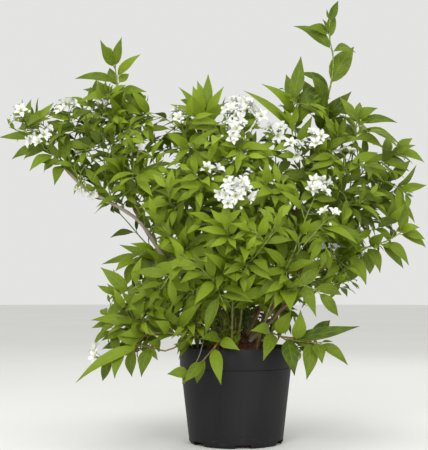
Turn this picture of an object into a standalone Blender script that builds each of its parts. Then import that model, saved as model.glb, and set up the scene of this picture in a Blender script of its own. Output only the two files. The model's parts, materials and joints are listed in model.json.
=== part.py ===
"""Potted deutzia: a young white-flowered shrub of arching stems in a plain black nursery pot.

The origin is the middle of the pot's underside. X runs to the right, Y away from the front
and Z up. Lengths are in millimetres throughout, and meshes are made in metres.
"""

import math
import random
from dataclasses import dataclass

import bpy
from mathutils import Matrix, Vector
from mathutils.bvhtree import BVHTree

METRES = 0.001
Point = tuple[float, float, float]
UP = Vector((0, 0, 1))
FRONT = Vector((0, -1, 0))

# Pot
POT_SIDES = 36
FOOT_RADIUS = 75.5
BASE_RADIUS = 79.5
COLLAR_FOOT_RADIUS = 93.0
COLLAR_FOOT_HEIGHT = 127.0
RIM_RADIUS = 95.0
RIM_HEIGHT = 160.0
POT_WALL = 1.8
FLOOR_TOP = 5.0
REST_RADIUS = 38.0
NOTCHES = 6
NOTCH_WIDTH = 26.0
NOTCH_HEIGHT = 7.0
FIRST_NOTCH = math.radians(-83)

# Soil and the crown of the plant
CLEARANCE = 0.35
SOIL_SIDES = 18
SOIL_LEVEL = 146.0
SOIL_MOUND = 40.0
MOUND_RADIUS = 37.0
SOIL_RINGS = (64, 44, 30, 16)
HOLE_DEPTH = 18.0
CROWN_RADIUS = 20.0
CROWN_HEIGHT = 166.0
CROWN_SIDES = 12

# Growth
SEED = 41
CANE_SIDES = 5
STEM_SIDES = 4
STEM_TIP = 0.8
STEP = 54.0
CANE_TIP = 2.2
AIR = 0.6
MOST_BENDS = 14

# Leaves: outline as shares of the length and of the width, fold and keel
LEAF_SHAPE = 0.35
BENT_LEAF = 9.5
SMALL_BLADE = ((0.36, 1.0),)
LARGE_BLADE = ((0.28, 1.0), (0.64, 0.72))
BENT_BLADE = ((0.24, 0.92), (0.5, 0.92), (0.76, 0.5))
FOLD = 0.16
KEEL = 0.7
KEEL_SHARE = 0.06
LEAF_TRIES = ((0.0, 0.0, 1.0), (0.35, 0.1, 1.0), (-0.35, 0.1, 1.0), (0.0, 0.45, 1.0), (0.7, 0.2, 0.9),
              (-0.7, 0.2, 0.9), (0.0, -0.45, 0.95), (0.3, 0.3, 0.75), (-0.3, -0.2, 0.75), (0.9, 0.5, 0.7))

# Side twigs by rule, and the masses of the crown: centre, half sizes and share of the twigs
TWIG_DRAWS = 2500
MOST_TWIGS = 20
TWIG_PAIRS = 3
TWIG_LEAF = 64.0
MASSES = (
    ((40, 0, 370), (190, 190, 180), 10),
    ((-270, -45, 515), (115, 75, 65), 3),
    ((-165, 0, 440), (85, 110, 150), 4),
    ((205, -10, 410), (125, 150, 120), 5),
    ((-130, -80, 225), (90, 110, 60), 2),
    ((-10, -10, 520), (90, 90, 60), 2),
    ((120, -10, 540), (60, 60, 60), 1),
)

# Flowers: the petal's tip and the notch after it, as degrees, shares of the radius and lift
PETALS = 5
PETAL = ((0, 1.0, 0.2), (36, 0.44, 0.04))
RIM = PETALS * len(PETAL)
FLORET_RADIUS = 11.0
BUD_RADIUS = 1.7
CORE_SHARE = 0.28
CALYX = 1.3
GOLDEN_ANGLE = math.radians(137.5)


@dataclass(frozen=True)
class Leaf:
    """A leaf placed by hand: where it leaves its stem, where its tip is, and its width and arch."""

    share: float
    tip: Point
    width: float
    rise: float = 6.0


@dataclass(frozen=True)
class Head:
    """A head of flowers at a stem's tip: its florets and buds, and how far its stalks reach."""

    name: str
    florets: int
    buds: int
    reach: float
    facing: Point = (0.0, -0.6, 0.5)


@dataclass(frozen=True)
class Stem:
    """A stem from its parent, at a share of the parent's length, through a course of points."""

    name: str
    parent: str
    share: float
    course: tuple[Point, ...]
    foot: float = 1.5
    pairs: int = 4
    leaf: float = 58.0
    start: float = 0.12
    leaves: tuple[Leaf, ...] = ()
    head: Head | None = None


# The woody canes, from the crown outwards: bare grey branches and brown peeling stems.
CANES = (
    Stem("low_left_cane", "crown", 0, ((-14, -6, 158), (-32, -10, 190), (-61, -15, 238), (-97, -20, 285),
         (-124, -25, 313), (-144, -28, 346), (-169, -30, 375), (-211, -35, 401), (-249, -40, 421),
         (-283, -45, 454)), 4.2, 0),
    Stem("left_cane", "crown", 0, ((-12, 6, 158), (-35, 8, 204), (-69, 12, 254), (-119, 16, 308),
         (-152, 16, 354), (-180, 15, 409), (-192, 10, 469), (-195, 5, 529)), 4.4, 0),
    Stem("middle_cane", "crown", 0, ((-4, 10, 158), (-22, 20, 205), (-40, 20, 254), (-56, 15, 311),
         (-64, 10, 357), (-61, 5, 443), (-51, 0, 505)), 4.4, 0),
    Stem("right_leader_cane", "crown", 0, ((8, 9, 158), (32, 12, 204), (62, 20, 272), (94, 25, 358),
         (122, 15, 444), (138, 6, 500)), 4.4, 0),
    Stem("right_cane", "crown", 0, ((13, 0, 158), (42, -4, 196), (82, -18, 255), (132, -27, 321),
         (174, -30, 405), (194, -26, 465)), 4.2, 0),
    Stem("low_right_cane", "crown", 0, ((12, -9, 158), (46, -22, 190), (81, -42, 230), (121, -56, 274),
         (163, -60, 303)), 3.8, 0),
)

CANE_NAMES = {cane.name for cane in CANES}

# The green stems. Those whose parent is another green stem grow as one with it.
STEMS = (
    # Left side
    Stem("left_leader", "left_cane", 1, ((-198, 2, 560), (-200, 0, 584), (-203, -2, 607), (-206, -5, 631),
         (-210, -8, 652)), 1.9, 0, leaves=(
        Leaf(1.0, (-229, -20, 669), 10), Leaf(1.0, (-195, -5, 680), 10, 3),
        Leaf(0.72, (-162, -15, 656), 15, 7), Leaf(0.66, (-275, -12, 614), 15, 16),
        Leaf(0.5, (-268, -35, 569), 17, 12), Leaf(0.5, (-150, -30, 588), 15, 8),
        Leaf(0.4, (-158, 30, 590), 17, 9), Leaf(0.36, (-266, 25, 603), 16, 10),
        Leaf(0.22, (-160, -32, 549), 19, 8), Leaf(0.08, (-165, 34, 535), 20, 9))),
    Stem("left_leader_front", "left_leader", 0.05, ((-206, -12, 540), (-221, -28, 550)), 1.1, 1, 34,
         head=Head("flowers_left_leader", 2, 1, 13)),
    Stem("left_fan", "low_left_cane", 1, ((-310, -48, 487), (-326, -50, 507), (-341, -52, 520),
         (-348, -55, 533)), 1.7, 0, leaves=(
        Leaf(0.86, (-306, -36, 569), 13), Leaf(0.88, (-312, -78, 551), 14, 7),
        Leaf(0.75, (-374, -14, 566), 12), Leaf(0.9, (-346, -25, 577), 11, 4),
        Leaf(0.7, (-392, -62, 506), 14, 4), Leaf(0.55, (-374, -44, 472), 15, 9),
        Leaf(0.42, (-360, -14, 474), 15, 9), Leaf(0.3, (-338, -78, 448), 16, 8),
        Leaf(0.2, (-324, -18, 452), 17, 8), Leaf(0.12, (-296, -84, 424), 17, 8),
        Leaf(0.6, (-290, -8, 530), 19, 9)),
         head=Head("flowers_far_left", 3, 2, 16, (-0.5, -0.6, 0.4))),
    Stem("left_fan_front", "left_fan", 0.3, ((-317, -58, 487), (-320, -66, 496)), 1.0, 0,
         head=Head("flowers_left_fan", 5, 1, 15, (0.1, -1.0, 0.2))),
    Stem("left_rise", "low_left_cane", 0.78, ((-216, -44, 440), (-220, -52, 480), (-220, -60, 512)),
         1.5, 3, 52),
    Stem("left_rise_flowering", "left_rise", 0.35, ((-240, -50, 475), (-262, -48, 515), (-277, -46, 540)),
         1.2, 2, 52, head=Head("flowers_upper_left", 5, 2, 17)),
    Stem("left_hang", "low_left_cane", 0.93, ((-266, -54, 448), (-268, -60, 465)), 1.2, 1, 40,
         head=Head("flowers_left_low", 1, 2, 10)),
    Stem("left_hang_down", "left_hang", 0.3, ((-254, -58, 442), (-250, -62, 428)), 0.9, 1, 46,
         head=Head("flowers_left_hanging", 2, 1, 12, (0.1, -0.6, -0.6))),
    Stem("left_middle", "low_left_cane", 0.36, ((-138, -42, 320), (-150, -50, 318), (-166, -56, 303)),
         1.3, 0, leaves=(
        Leaf(0.42, (-195, -34, 330), 13), Leaf(0.85, (-224, -38, 297), 11),
        Leaf(0.95, (-196, -86, 285), 16), Leaf(0.55, (-172, -88, 330), 15),
        Leaf(0.2, (-146, -90, 322), 17), Leaf(1.0, (-182, -52, 261), 17),
        Leaf(0.3, (-150, -70, 268), 18))),
    Stem("left_inner", "low_left_cane", 0.6, ((-174, -46, 410), (-171, -56, 445), (-169, -60, 464)),
         1.4, 3, 60, head=Head("flowers_left_middle", 1, 3, 12)),
    # Lower left
    Stem("lower_left_cane", "soil", 0, ((-20, -27, 128), (-20, -27, 160), (-30, -44, 176),
         (-46, -68, 184), (-66, -98, 180), (-90, -120, 170)), 2.2, 1, 48, 0.6),
    Stem("lower_left_rise", "lower_left_cane", 0.8, ((-100, -116, 186), (-118, -122, 188),
         (-140, -125, 190), (-161, -125, 208), (-170, -125, 224), (-186, -122, 246)), 1.4, 0, leaves=(
        Leaf(0.62, (-232, -110, 207), 14, 12), Leaf(0.66, (-146, -132, 258), 16),
        Leaf(0.5, (-184, -144, 184), 15), Leaf(0.98, (-222, -110, 262), 9, 5),
        Leaf(0.98, (-204, -134, 265), 8, 3), Leaf(1.0, (-196, -116, 288), 9, 4),
        Leaf(0.3, (-128, -160, 208), 17), Leaf(0.35, (-140, -92, 222), 17),
        Leaf(0.44, (-180, -90, 214), 14))),
    Stem("lower_left_low", "lower_left_cane", 1, ((-112, -130, 160), (-144, -138, 168),
         (-170, -142, 165), (-192, -142, 160), (-206, -141, 154)), 1.4, 0, leaves=(
        Leaf(0.52, (-247, -170, 114), 15, 12), Leaf(0.75, (-188, -168, 120), 15),
        Leaf(0.4, (-148, -160, 122), 17), Leaf(0.9, (-212, -118, 112), 14),
        Leaf(0.55, (-196, -124, 196), 15, 8), Leaf(0.3, (-138, -172, 176), 17),
        Leaf(0.6, (-166, -112, 118), 15)),
         head=Head("flowers_lower_left", 2, 1, 12, (-0.6, -0.7, 0.2))),
    # Middle
    Stem("middle_top", "middle_cane", 1, ((-50, -4, 530), (-50, -9, 556)), 1.5, 1, 52, 0.1, leaves=(
        Leaf(0.98, (-73, -18, 601), 17, 4), Leaf(1.0, (-47, -8, 624), 15, 3),
        Leaf(0.7, (-20, -30, 598), 14), Leaf(0.75, (-111, -30, 567), 14, 8),
        Leaf(0.6, (-12, -40, 570), 16, 8))),
    Stem("middle_left", "middle_cane", 0.72, ((-72, -10, 460), (-84, -22, 505), (-92, -28, 535)),
         1.3, 3, 62, head=Head("flowers_middle_left", 3, 1, 14)),
    Stem("middle_front", "middle_cane", 0.5, ((-70, -28, 372), (-60, -62, 410), (-42, -88, 438)),
         1.3, 3, 64, head=Head("flowers_middle_front", 2, 1, 12, (-0.2, -1, 0.2))),
    Stem("middle_low", "middle_cane", 0.3, ((-64, -16, 285), (-88, -60, 312), (-106, -100, 338)),
         1.3, 4, 66),
    # Central stem with the largest head of flowers
    Stem("central_cane", "soil", 0, ((2, -30, 128), (2, -30, 160), (8, -30, 215), (12, -34, 305),
         (11, -40, 405), (8, -46, 488), (6, -54, 532)), 2.6, 5, 62, 0.3,
         head=Head("flowers_crown", 10, 3, 23, (0.1, -0.8, 0.5))),
    Stem("central_right", "central_cane", 0.84, ((22, -48, 510), (32, -50, 530)), 1.1, 1, 50,
         head=Head("flowers_crown_right", 2, 1, 11)),
    Stem("central_left", "central_cane", 0.8, ((-4, -62, 492), (-6, -74, 504)), 1.1, 1, 46,
         head=Head("flowers_crown_left", 4, 1, 18, (-0.2, -1, 0.2))),
    Stem("central_low", "central_cane", 0.45, ((34, -52, 360), (56, -66, 392),
         (70, -80, 424)), 1.3, 4, 66),
    # Front stem with the second largest head
    Stem("front_cane", "soil", 0, ((-8, -48, 128), (-8, -48, 160), (-7, -68, 240), (-6, -112, 330),
         (-5, -138, 392)), 2.4, 4, 66, 0.35, head=Head("flowers_front", 9, 2, 24, (0, -1, 0.35))),
    Stem("front_left", "front_cane", 0.45, ((-34, -108, 266), (-62, -142, 292),
         (-84, -166, 306)), 1.3, 4, 66),
    Stem("front_right", "front_cane", 0.6, ((22, -128, 302), (44, -158, 330),
         (58, -178, 346)), 1.3, 4, 64),
    # Right side
    Stem("right_leader", "right_leader_cane", 1, ((146, 3, 530), (152, 0, 558), (162, -2, 600),
         (167, -4, 631), (167, -5, 657), (162, -6, 683), (161, -7, 700), (162, -8, 717)), 2.0, 0, leaves=(
        Leaf(0.96, (177, -5, 752), 12, 3), Leaf(0.9, (147, -27, 714), 8, 2),
        Leaf(0.88, (118, -20, 700), 16, 7), Leaf(0.76, (100, 5, 710), 21, 10),
        Leaf(0.74, (203, -30, 655), 16, 14), Leaf(0.48, (208, 26, 679), 29, 8),
        Leaf(0.44, (104, -25, 622), 15, 12), Leaf(0.22, (113, 20, 622), 26, 7),
        Leaf(0.2, (196, -24, 590), 22, 9), Leaf(0.04, (190, 34, 560), 22, 9),
        Leaf(0.04, (104, -10, 530), 20, 9))),
    Stem("right_upper", "right_leader_cane", 0.7, ((109, -12, 458), (102, -20, 508), (97, -25, 553),
         (94, -28, 570)), 1.5, 2, 62, 0.15, leaves=(
        Leaf(1.0, (111, -20, 652), 20, 5), Leaf(0.88, (41, -64, 595), 16, 10),
        Leaf(0.72, (13, -22, 592), 13, 12), Leaf(0.8, (136, -52, 562), 18, 8))),
    Stem("right_upper_front", "right_upper", 0.35, ((104, -38, 472), (99, -52, 482)), 1.0, 1, 50,
         head=Head("flowers_right_upper", 3, 1, 14, (0, -0.9, 0.4))),
    Stem("right_inner", "right_leader_cane", 0.52, ((74, 0, 400), (68, -20, 455),
         (66, -34, 506)), 1.4, 4, 62,
         head=Head("flowers_middle_right", 3, 2, 16, (0.1, -0.8, 0.5))),
    Stem("right_flowering", "right_cane", 0.6, ((160, -46, 420), (144, -54, 462), (135, -58, 488)),
         1.3, 3, 62, head=Head("flowers_right", 4, 2, 17, (0, -0.9, 0.4))),
    Stem("right_flowering_side", "right_flowering", 0.4, ((174, -64, 440), (178, -66, 468)), 1.0, 1, 46,
         head=Head("flowers_right_side", 2, 1, 11)),
    Stem("right_top", "right_cane", 1, ((199, -28, 500), (204, -30, 540)), 1.4, 1, 50, 0.2, leaves=(
        Leaf(0.98, (173, -42, 578), 15, 4), Leaf(0.96, (237, -45, 558), 16, 9),
        Leaf(0.9, (274, -20, 537), 14, 10), Leaf(0.85, (215, 10, 578), 13),
        Leaf(0.6, (243, -58, 488), 18, 12), Leaf(0.5, (186, 30, 545), 17, 9))),
    Stem("right_outer", "right_cane", 0.86, ((222, -24, 462), (244, -20, 474), (268, -16, 488)),
         1.4, 0, leaves=(
        Leaf(0.98, (299, -20, 511), 14, 5), Leaf(0.9, (300, -42, 496), 13, 6),
        Leaf(0.97, (322, -5, 471), 15, 8), Leaf(0.75, (291, -32, 453), 15, 8),
        Leaf(0.8, (262, 14, 520), 15, 6), Leaf(0.45, (252, -62, 440), 17, 9),
        Leaf(0.4, (256, 22, 452), 17, 9), Leaf(0.15, (216, -74, 428), 18, 9))),
    Stem("right_side", "right_cane", 0.74, ((216, -16, 404), (244, -12, 412), (272, -8, 424)),
         1.4, 0, leaves=(
        Leaf(1.0, (324, -10, 432), 14, 6), Leaf(0.92, (295, -40, 416), 14, 6),
        Leaf(0.6, (272, -44, 374), 16, 8), Leaf(0.85, (307, 10, 369), 15, 8),
        Leaf(0.9, (292, 24, 408), 14, 8), Leaf(0.45, (248, 34, 398), 17, 8),
        Leaf(0.3, (236, -54, 404), 18, 9), Leaf(0.3, (226, 6, 358), 18, 9))),
    Stem("right_arch", "low_right_cane", 1, ((180, -62, 312), (206, -61, 322), (232, -57, 330),
         (254, -53, 338),
         (272, -50, 350)), 1.6, 0, leaves=(
        Leaf(0.98, (283, -48, 394), 15, 6), Leaf(1.0, (297, -74, 357), 14, 6),
        Leaf(1.0, (312, -48, 338), 14, 7), Leaf(0.94, (318, -26, 325), 14, 8),
        Leaf(0.72, (279, -78, 294), 16, 10), Leaf(0.66, (278, -36, 290), 16, 9),
        Leaf(0.45, (231, -84, 282), 17, 9), Leaf(0.4, (222, -34, 280), 17, 9),
        Leaf(0.18, (184, -98, 294), 18, 9), Leaf(0.2, (210, -74, 262), 18, 9),
        Leaf(0.5, (240, -90, 348), 16, 8), Leaf(0.3, (206, -20, 358), 16, 8))),
    Stem("right_arch_front", "right_arch", 0.05, ((158, -82, 306), (152, -92, 310)), 1.0, 1, 48,
         head=Head("flowers_right_low", 2, 1, 12, (0, -1, 0.3))),
    # Front right
    Stem("front_right_cane", "soil", 0, ((34, -34, 128), (34, -34, 160), (58, -76, 240), (92, -108, 320),
         (110, -104, 370), (126, -96, 406)), 2.4, 4, 64, 0.4,
         head=Head("flowers_front_right", 5, 2, 18, (0.1, -1, 0.3))),
    Stem("front_right_low", "front_right_cane", 0.42, ((84, -124, 256), (104, -140, 262),
         (124, -150, 252)),
         1.3, 0, leaves=(
        Leaf(0.9, (167, -100, 246), 16, 8), Leaf(1.0, (157, -134, 214), 16, 8),
        Leaf(0.75, (118, -176, 214), 17, 9), Leaf(0.4, (80, -166, 222), 22, 9),
        Leaf(0.3, (56, -150, 226), 18, 9), Leaf(0.6, (132, -120, 290), 16, 8),
        Leaf(0.5, (100, -178, 262), 18, 8))),
    Stem("front_right_side", "front_right_cane", 0.62, ((118, -122, 340), (138, -124, 362)), 1.2, 2, 56,
         head=Head("flowers_front_right_side", 2, 1, 12, (0.2, -1, 0.2))),
    # Low shoots that lean over the rim
    Stem("lower_right_cane", "soil", 0, ((32, -10, 128), (32, -10, 160), (40, -36, 178), (50, -66, 184),
         (66, -94, 180), (88, -112, 174), (112, -120, 172), (130, -122, 172)), 2.0, 0, leaves=(
        Leaf(0.74, (192, -125, 198), 17, 9), Leaf(1.0, (171, -136, 138), 15, 9),
        Leaf(0.95, (130, -146, 141), 17, 7), Leaf(0.9, (106, -142, 116), 20, 8),
        Leaf(0.72, (88, -138, 122), 23, 9), Leaf(0.55, (40, -124, 144), 19, 10),
        Leaf(0.5, (20, -112, 190), 17, 9), Leaf(0.6, (86, -104, 222), 20, 8),
        Leaf(0.8, (98, -134, 224), 19, 8), Leaf(0.9, (150, -84, 206), 17, 8))),
    Stem("lower_front_cane", "soil", 0, ((-30, -42, 128), (-30, -42, 160), (-28, -66, 176),
         (-28, -92, 174),
         (-40, -106, 160), (-58, -118, 140), (-76, -126, 120)), 1.8, 0, leaves=(
        Leaf(0.62, (-26, -140, 108), 17, 8), Leaf(0.5, (4, -118, 160), 16, 9),
        Leaf(0.95, (-110, -130, 124), 15, 7), Leaf(0.8, (-84, -150, 112), 16, 7),
        Leaf(0.75, (-64, -96, 106), 14, 6), Leaf(0.45, (-60, -128, 178), 17, 8))),
    # Back of the shrub
    Stem("back_left_cane", "soil", 0, ((-30, 22, 128), (-30, 22, 160), (-62, 60, 240), (-112, 118, 330),
         (-148, 164, 408), (-164, 190, 470)), 2.6, 4, 68, 0.35),
    Stem("back_left_side", "back_left_cane", 0.5, ((-150, 96, 330), (-196, 104, 380), (-232, 100, 418)),
         1.5, 3, 66),
    Stem("back_left_low", "back_left_cane", 0.36, ((-96, 124, 250), (-140, 160, 268), (-180, 180, 262)),
         1.5, 3, 66),
    Stem("back_cane", "soil", 0, ((4, 34, 128), (4, 34, 160), (2, 78, 260), (-6, 130, 370),
         (-10, 158, 460),
         (-12, 170, 540)), 2.8, 5, 64, 0.35),
    Stem("back_side_left", "back_cane", 0.55, ((-44, 160, 402), (-78, 196, 436), (-100, 220, 452)),
         1.5, 3, 66),
    Stem("back_side_right", "back_cane", 0.42, ((34, 142, 330), (66, 196, 352),
         (84, 236, 350)), 1.5, 3, 66),
    Stem("back_low", "back_cane", 0.28, ((-14, 128, 240), (-30, 186, 250), (-44, 232, 232)), 1.5, 3, 66),
    Stem("back_right_cane", "soil", 0, ((32, 20, 128), (32, 20, 160), (66, 58, 250), (110, 108, 340),
         (142, 142, 430), (156, 160, 510)), 2.6, 4, 68, 0.35),
    Stem("back_right_side", "back_right_cane", 0.5, ((156, 88, 340), (204, 84, 384), (240, 76, 410)),
         1.5, 3, 66),
    Stem("back_right_low", "back_right_cane", 0.34, ((110, 110, 256), (156, 134, 270), (196, 142, 258)),
         1.5, 3, 66),
)


@dataclass
class Solid:
    """A closed faceted body: its points in millimetres and its faces, which turn outwards."""

    points: list[Vector]
    faces: list[tuple[int, ...]]


class Line:
    """A course that can be read at any share of its length, with an untwisted frame along it."""

    def __init__(self, points):
        self.points = points
        self.marks = [0.0]
        for start, stop in zip(points, points[1:]):
            self.marks.append(self.marks[-1] + (stop - start).length)
        self.length = self.marks[-1]
        self.heads = []
        self.acrosses = []
        last = len(points) - 1
        level, high = square_to((points[1] - points[0]).normalized())
        across = level + high
        for n in range(len(points)):
            ahead = (points[min(n + 1, last)] - points[max(n - 1, 0)]).normalized()
            across = (across - ahead * across.dot(ahead)).normalized()
            self.heads.append(ahead)
            self.acrosses.append(across)

    def place(self, share):
        """The number of the stretch that holds a share of the length, and how far along it."""
        reach = min(max(share, 0.0), 1.0) * self.length
        n = 1
        while n < len(self.marks) - 1 and self.marks[n] < reach:
            n += 1
        return n, (reach - self.marks[n - 1]) / (self.marks[n] - self.marks[n - 1])

    def at(self, share):
        """The point at a share of the length, and the direction there."""
        n, part = self.place(share)
        start, stop = self.points[n - 1], self.points[n]
        return start.lerp(stop, part), (stop - start).normalized()

    def side(self, share, wanted):
        """The direction square to a four-sided stem's flat that is nearest to the wanted one."""
        n, part = self.place(share)
        ahead = (self.points[n] - self.points[n - 1]).normalized()
        across = self.acrosses[n - 1].lerp(self.acrosses[n], part)
        across = (across - ahead * across.dot(ahead)).normalized()
        other = ahead.cross(across)
        flats = [across + other, across - other, other - across, -across - other]
        return max(flats, key=lambda flat: flat.dot(wanted)).normalized()


class Space:
    """What has been placed so far, to keep new stems, leaves and flowers clear of it."""

    def __init__(self):
        self.placed = []

    def add(self, solid, owner):
        low, high = box_of(solid)
        self.placed.append((low, high, tree_of(solid), owner))

    def is_free(self, solid, beside=None):
        """Whether a solid meets nothing placed so far, other than what one owner has placed."""
        low, high = box_of(solid)
        tree = None
        for other_low, other_high, other, owner in self.placed:
            if owner == beside:
                continue
            if any(low[k] > other_high[k] or high[k] < other_low[k] for k in range(3)):
                continue
            tree = tree or tree_of(solid)
            if tree.overlap(other):
                return False
        return True


def crosses(tree, other):
    """Whether a flower's tree meets another flower beyond the head's core."""
    pairs = tree.overlap(tree_of(other))
    return any(first > 2 and second > 2 for first, second in pairs)


def box_of(solid):
    columns = list(zip(*solid.points))
    return [min(column) for column in columns], [max(column) for column in columns]


def tree_of(solid):
    return BVHTree.FromPolygons(solid.points, solid.faces)


def eased(course):
    """The course with points added along a smooth curve through it, about STEP apart."""
    ends = [course[0], *course, course[-1]]
    curve = []
    for before, start, stop, after in zip(ends, ends[1:], ends[2:], ends[3:]):
        count = max(1, round((stop - start).length / STEP))
        for n in range(count):
            t = n / count
            curve.append(0.5 * (2 * start + (stop - before) * t
                                + (2 * before - 5 * start + 4 * stop - after) * t ** 2
                                + (3 * start - before - 3 * stop + after) * t ** 3))
    return curve + [course[-1]]


def square_to(direction):
    """Two directions square to the given one, right-handed about it: one level, one rising."""
    level = UP.cross(direction) if abs(direction.z) < 0.95 else FRONT.cross(direction)
    level.normalize()
    return level, direction.cross(level)


def spindle(rings, sides):
    """The faces of a body pointed at both ends, with rings of equal size between."""
    faces = [(0, 1 + (k + 1) % sides, 1 + k) for k in range(sides)]
    for first in range(1, 1 + (rings - 1) * sides, sides):
        for k in range(sides):
            a, b = first + k, first + (k + 1) % sides
            faces.append((a, b, b + sides))
            faces.append((a, b + sides, a + sides))
    tip = 1 + rings * sides
    faces += [(tip - sides + k, tip - sides + (k + 1) % sides, tip) for k in range(sides)]
    return faces


def ring(centre, ahead, across, radius, sides, turn=0.0):
    """Points round a centre, counted the right-handed way about the direction ahead."""
    across = (across - ahead * across.dot(ahead)).normalized()
    other = ahead.cross(across)
    angles = [turn + math.tau * k / sides for k in range(sides)]
    return [centre + radius * (math.cos(a) * across + math.sin(a) * other) for a in angles]


def skin(rings, sides):
    """The faces of a body made of rings of equal size, from its flat start to its flat end."""
    faces = [tuple(reversed(range(sides)))]
    for n in range(rings - 1):
        for k in range(sides):
            a, b = n * sides + k, n * sides + (k + 1) % sides
            faces.append((a, b, b + sides))
            faces.append((a, b + sides, a + sides))
    faces.append(tuple(range((rings - 1) * sides, rings * sides)))
    return faces


def bar(line, radii, sides):
    """A solid bar along a line, its sections square to it and untwisted."""
    points = []
    for centre, ahead, across, radius in zip(line.points, line.heads, line.acrosses, radii):
        points += ring(centre, ahead, across, radius, sides)
    return Solid(points, skin(len(line.points), sides))


def tapered(line, foot, tip, sides, swell=0.0):
    """A bar along a line that thins evenly from its foot to its tip."""
    return bar(line, [foot + (tip - foot) * mark / line.length + swell for mark in line.marks], sides)


@dataclass
class Blade:
    """One leaf: a pointed, arched blade with a keel under its rib."""

    root: Vector
    reach: Vector
    width: float
    rise: float
    face: Vector
    shape: tuple[tuple[float, float], ...]

    def solid(self, start=0.0, swell=0.0):
        """The blade from a share of its length on, thickened all round by the swell."""
        length = self.reach.length
        axis = self.reach / length
        side = axis.cross(self.face).normalized()
        up = side.cross(axis)
        points = [self.root + self.reach * start]
        for share, breadth in self.shape:
            share = start + (1 - start) * share
            half = 0.5 * self.width * breadth + swell
            middle = self.root + self.reach * share
            middle += up * (4 * self.rise * share * (1 - share))
            edge = up * (FOLD * half + swell)
            points.append(middle - side * half + edge)
            points.append(middle + side * half + edge)
            points.append(middle - up * (KEEL + KEEL_SHARE * half + swell))
        points.append(self.root + self.reach * (1 + swell / length))
        return Solid(points, spindle(len(self.shape), 3))


@dataclass
class Floret:
    """One open flower of five petals, or a bud, on its own stalk from the head's axis."""

    foot: Vector
    centre: Vector
    facing: Vector
    radius: float
    turn: float

    def solid(self, swell=0.0):
        across, other = square_to(self.facing)
        neck = self.centre - 0.22 * self.radius * self.facing
        points = [self.foot]
        points += ring(neck, self.facing, across, CALYX + swell, 3, self.turn + math.radians(45))
        for petal in range(PETALS):
            for step, share, lift in PETAL:
                angle = self.turn + math.radians(72 * petal + step)
                spread = math.cos(angle) * across + math.sin(angle) * other
                points.append(self.centre + (self.radius + swell) * (share * spread + lift * self.facing))
        points.append(self.centre + (0.08 * self.radius + swell) * self.facing)
        faces = [(0, 1 + (k + 1) % 3, 1 + k) for k in range(3)]
        # Which of the neck's three points each point of the rim joins
        seats = (0, 0, 0, 0, 1, 1, 1, 2, 2, 2)
        for k in range(RIM):
            above, after = 4 + k, 4 + (k + 1) % RIM
            faces.append((1 + seats[k], after, above))
            faces.append((above, after, 4 + RIM))
            if seats[k] != seats[(k + 1) % RIM]:
                faces.append((1 + seats[k], 1 + (seats[k] + 1) % 3, after))
        return Solid(points, faces)


@dataclass
class Bud:
    """A closed bud that narrows to its foot."""

    foot: Vector
    tip: Vector

    def solid(self, swell=0.0):
        ahead = (self.tip - self.foot).normalized()
        across, _ = square_to(ahead)
        points = [self.foot]
        points += ring(self.tip - ahead * 3.0, ahead, across, BUD_RADIUS + swell, 3)
        points.append(self.tip + ahead * swell)
        return Solid(points, spindle(1, 3))


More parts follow.
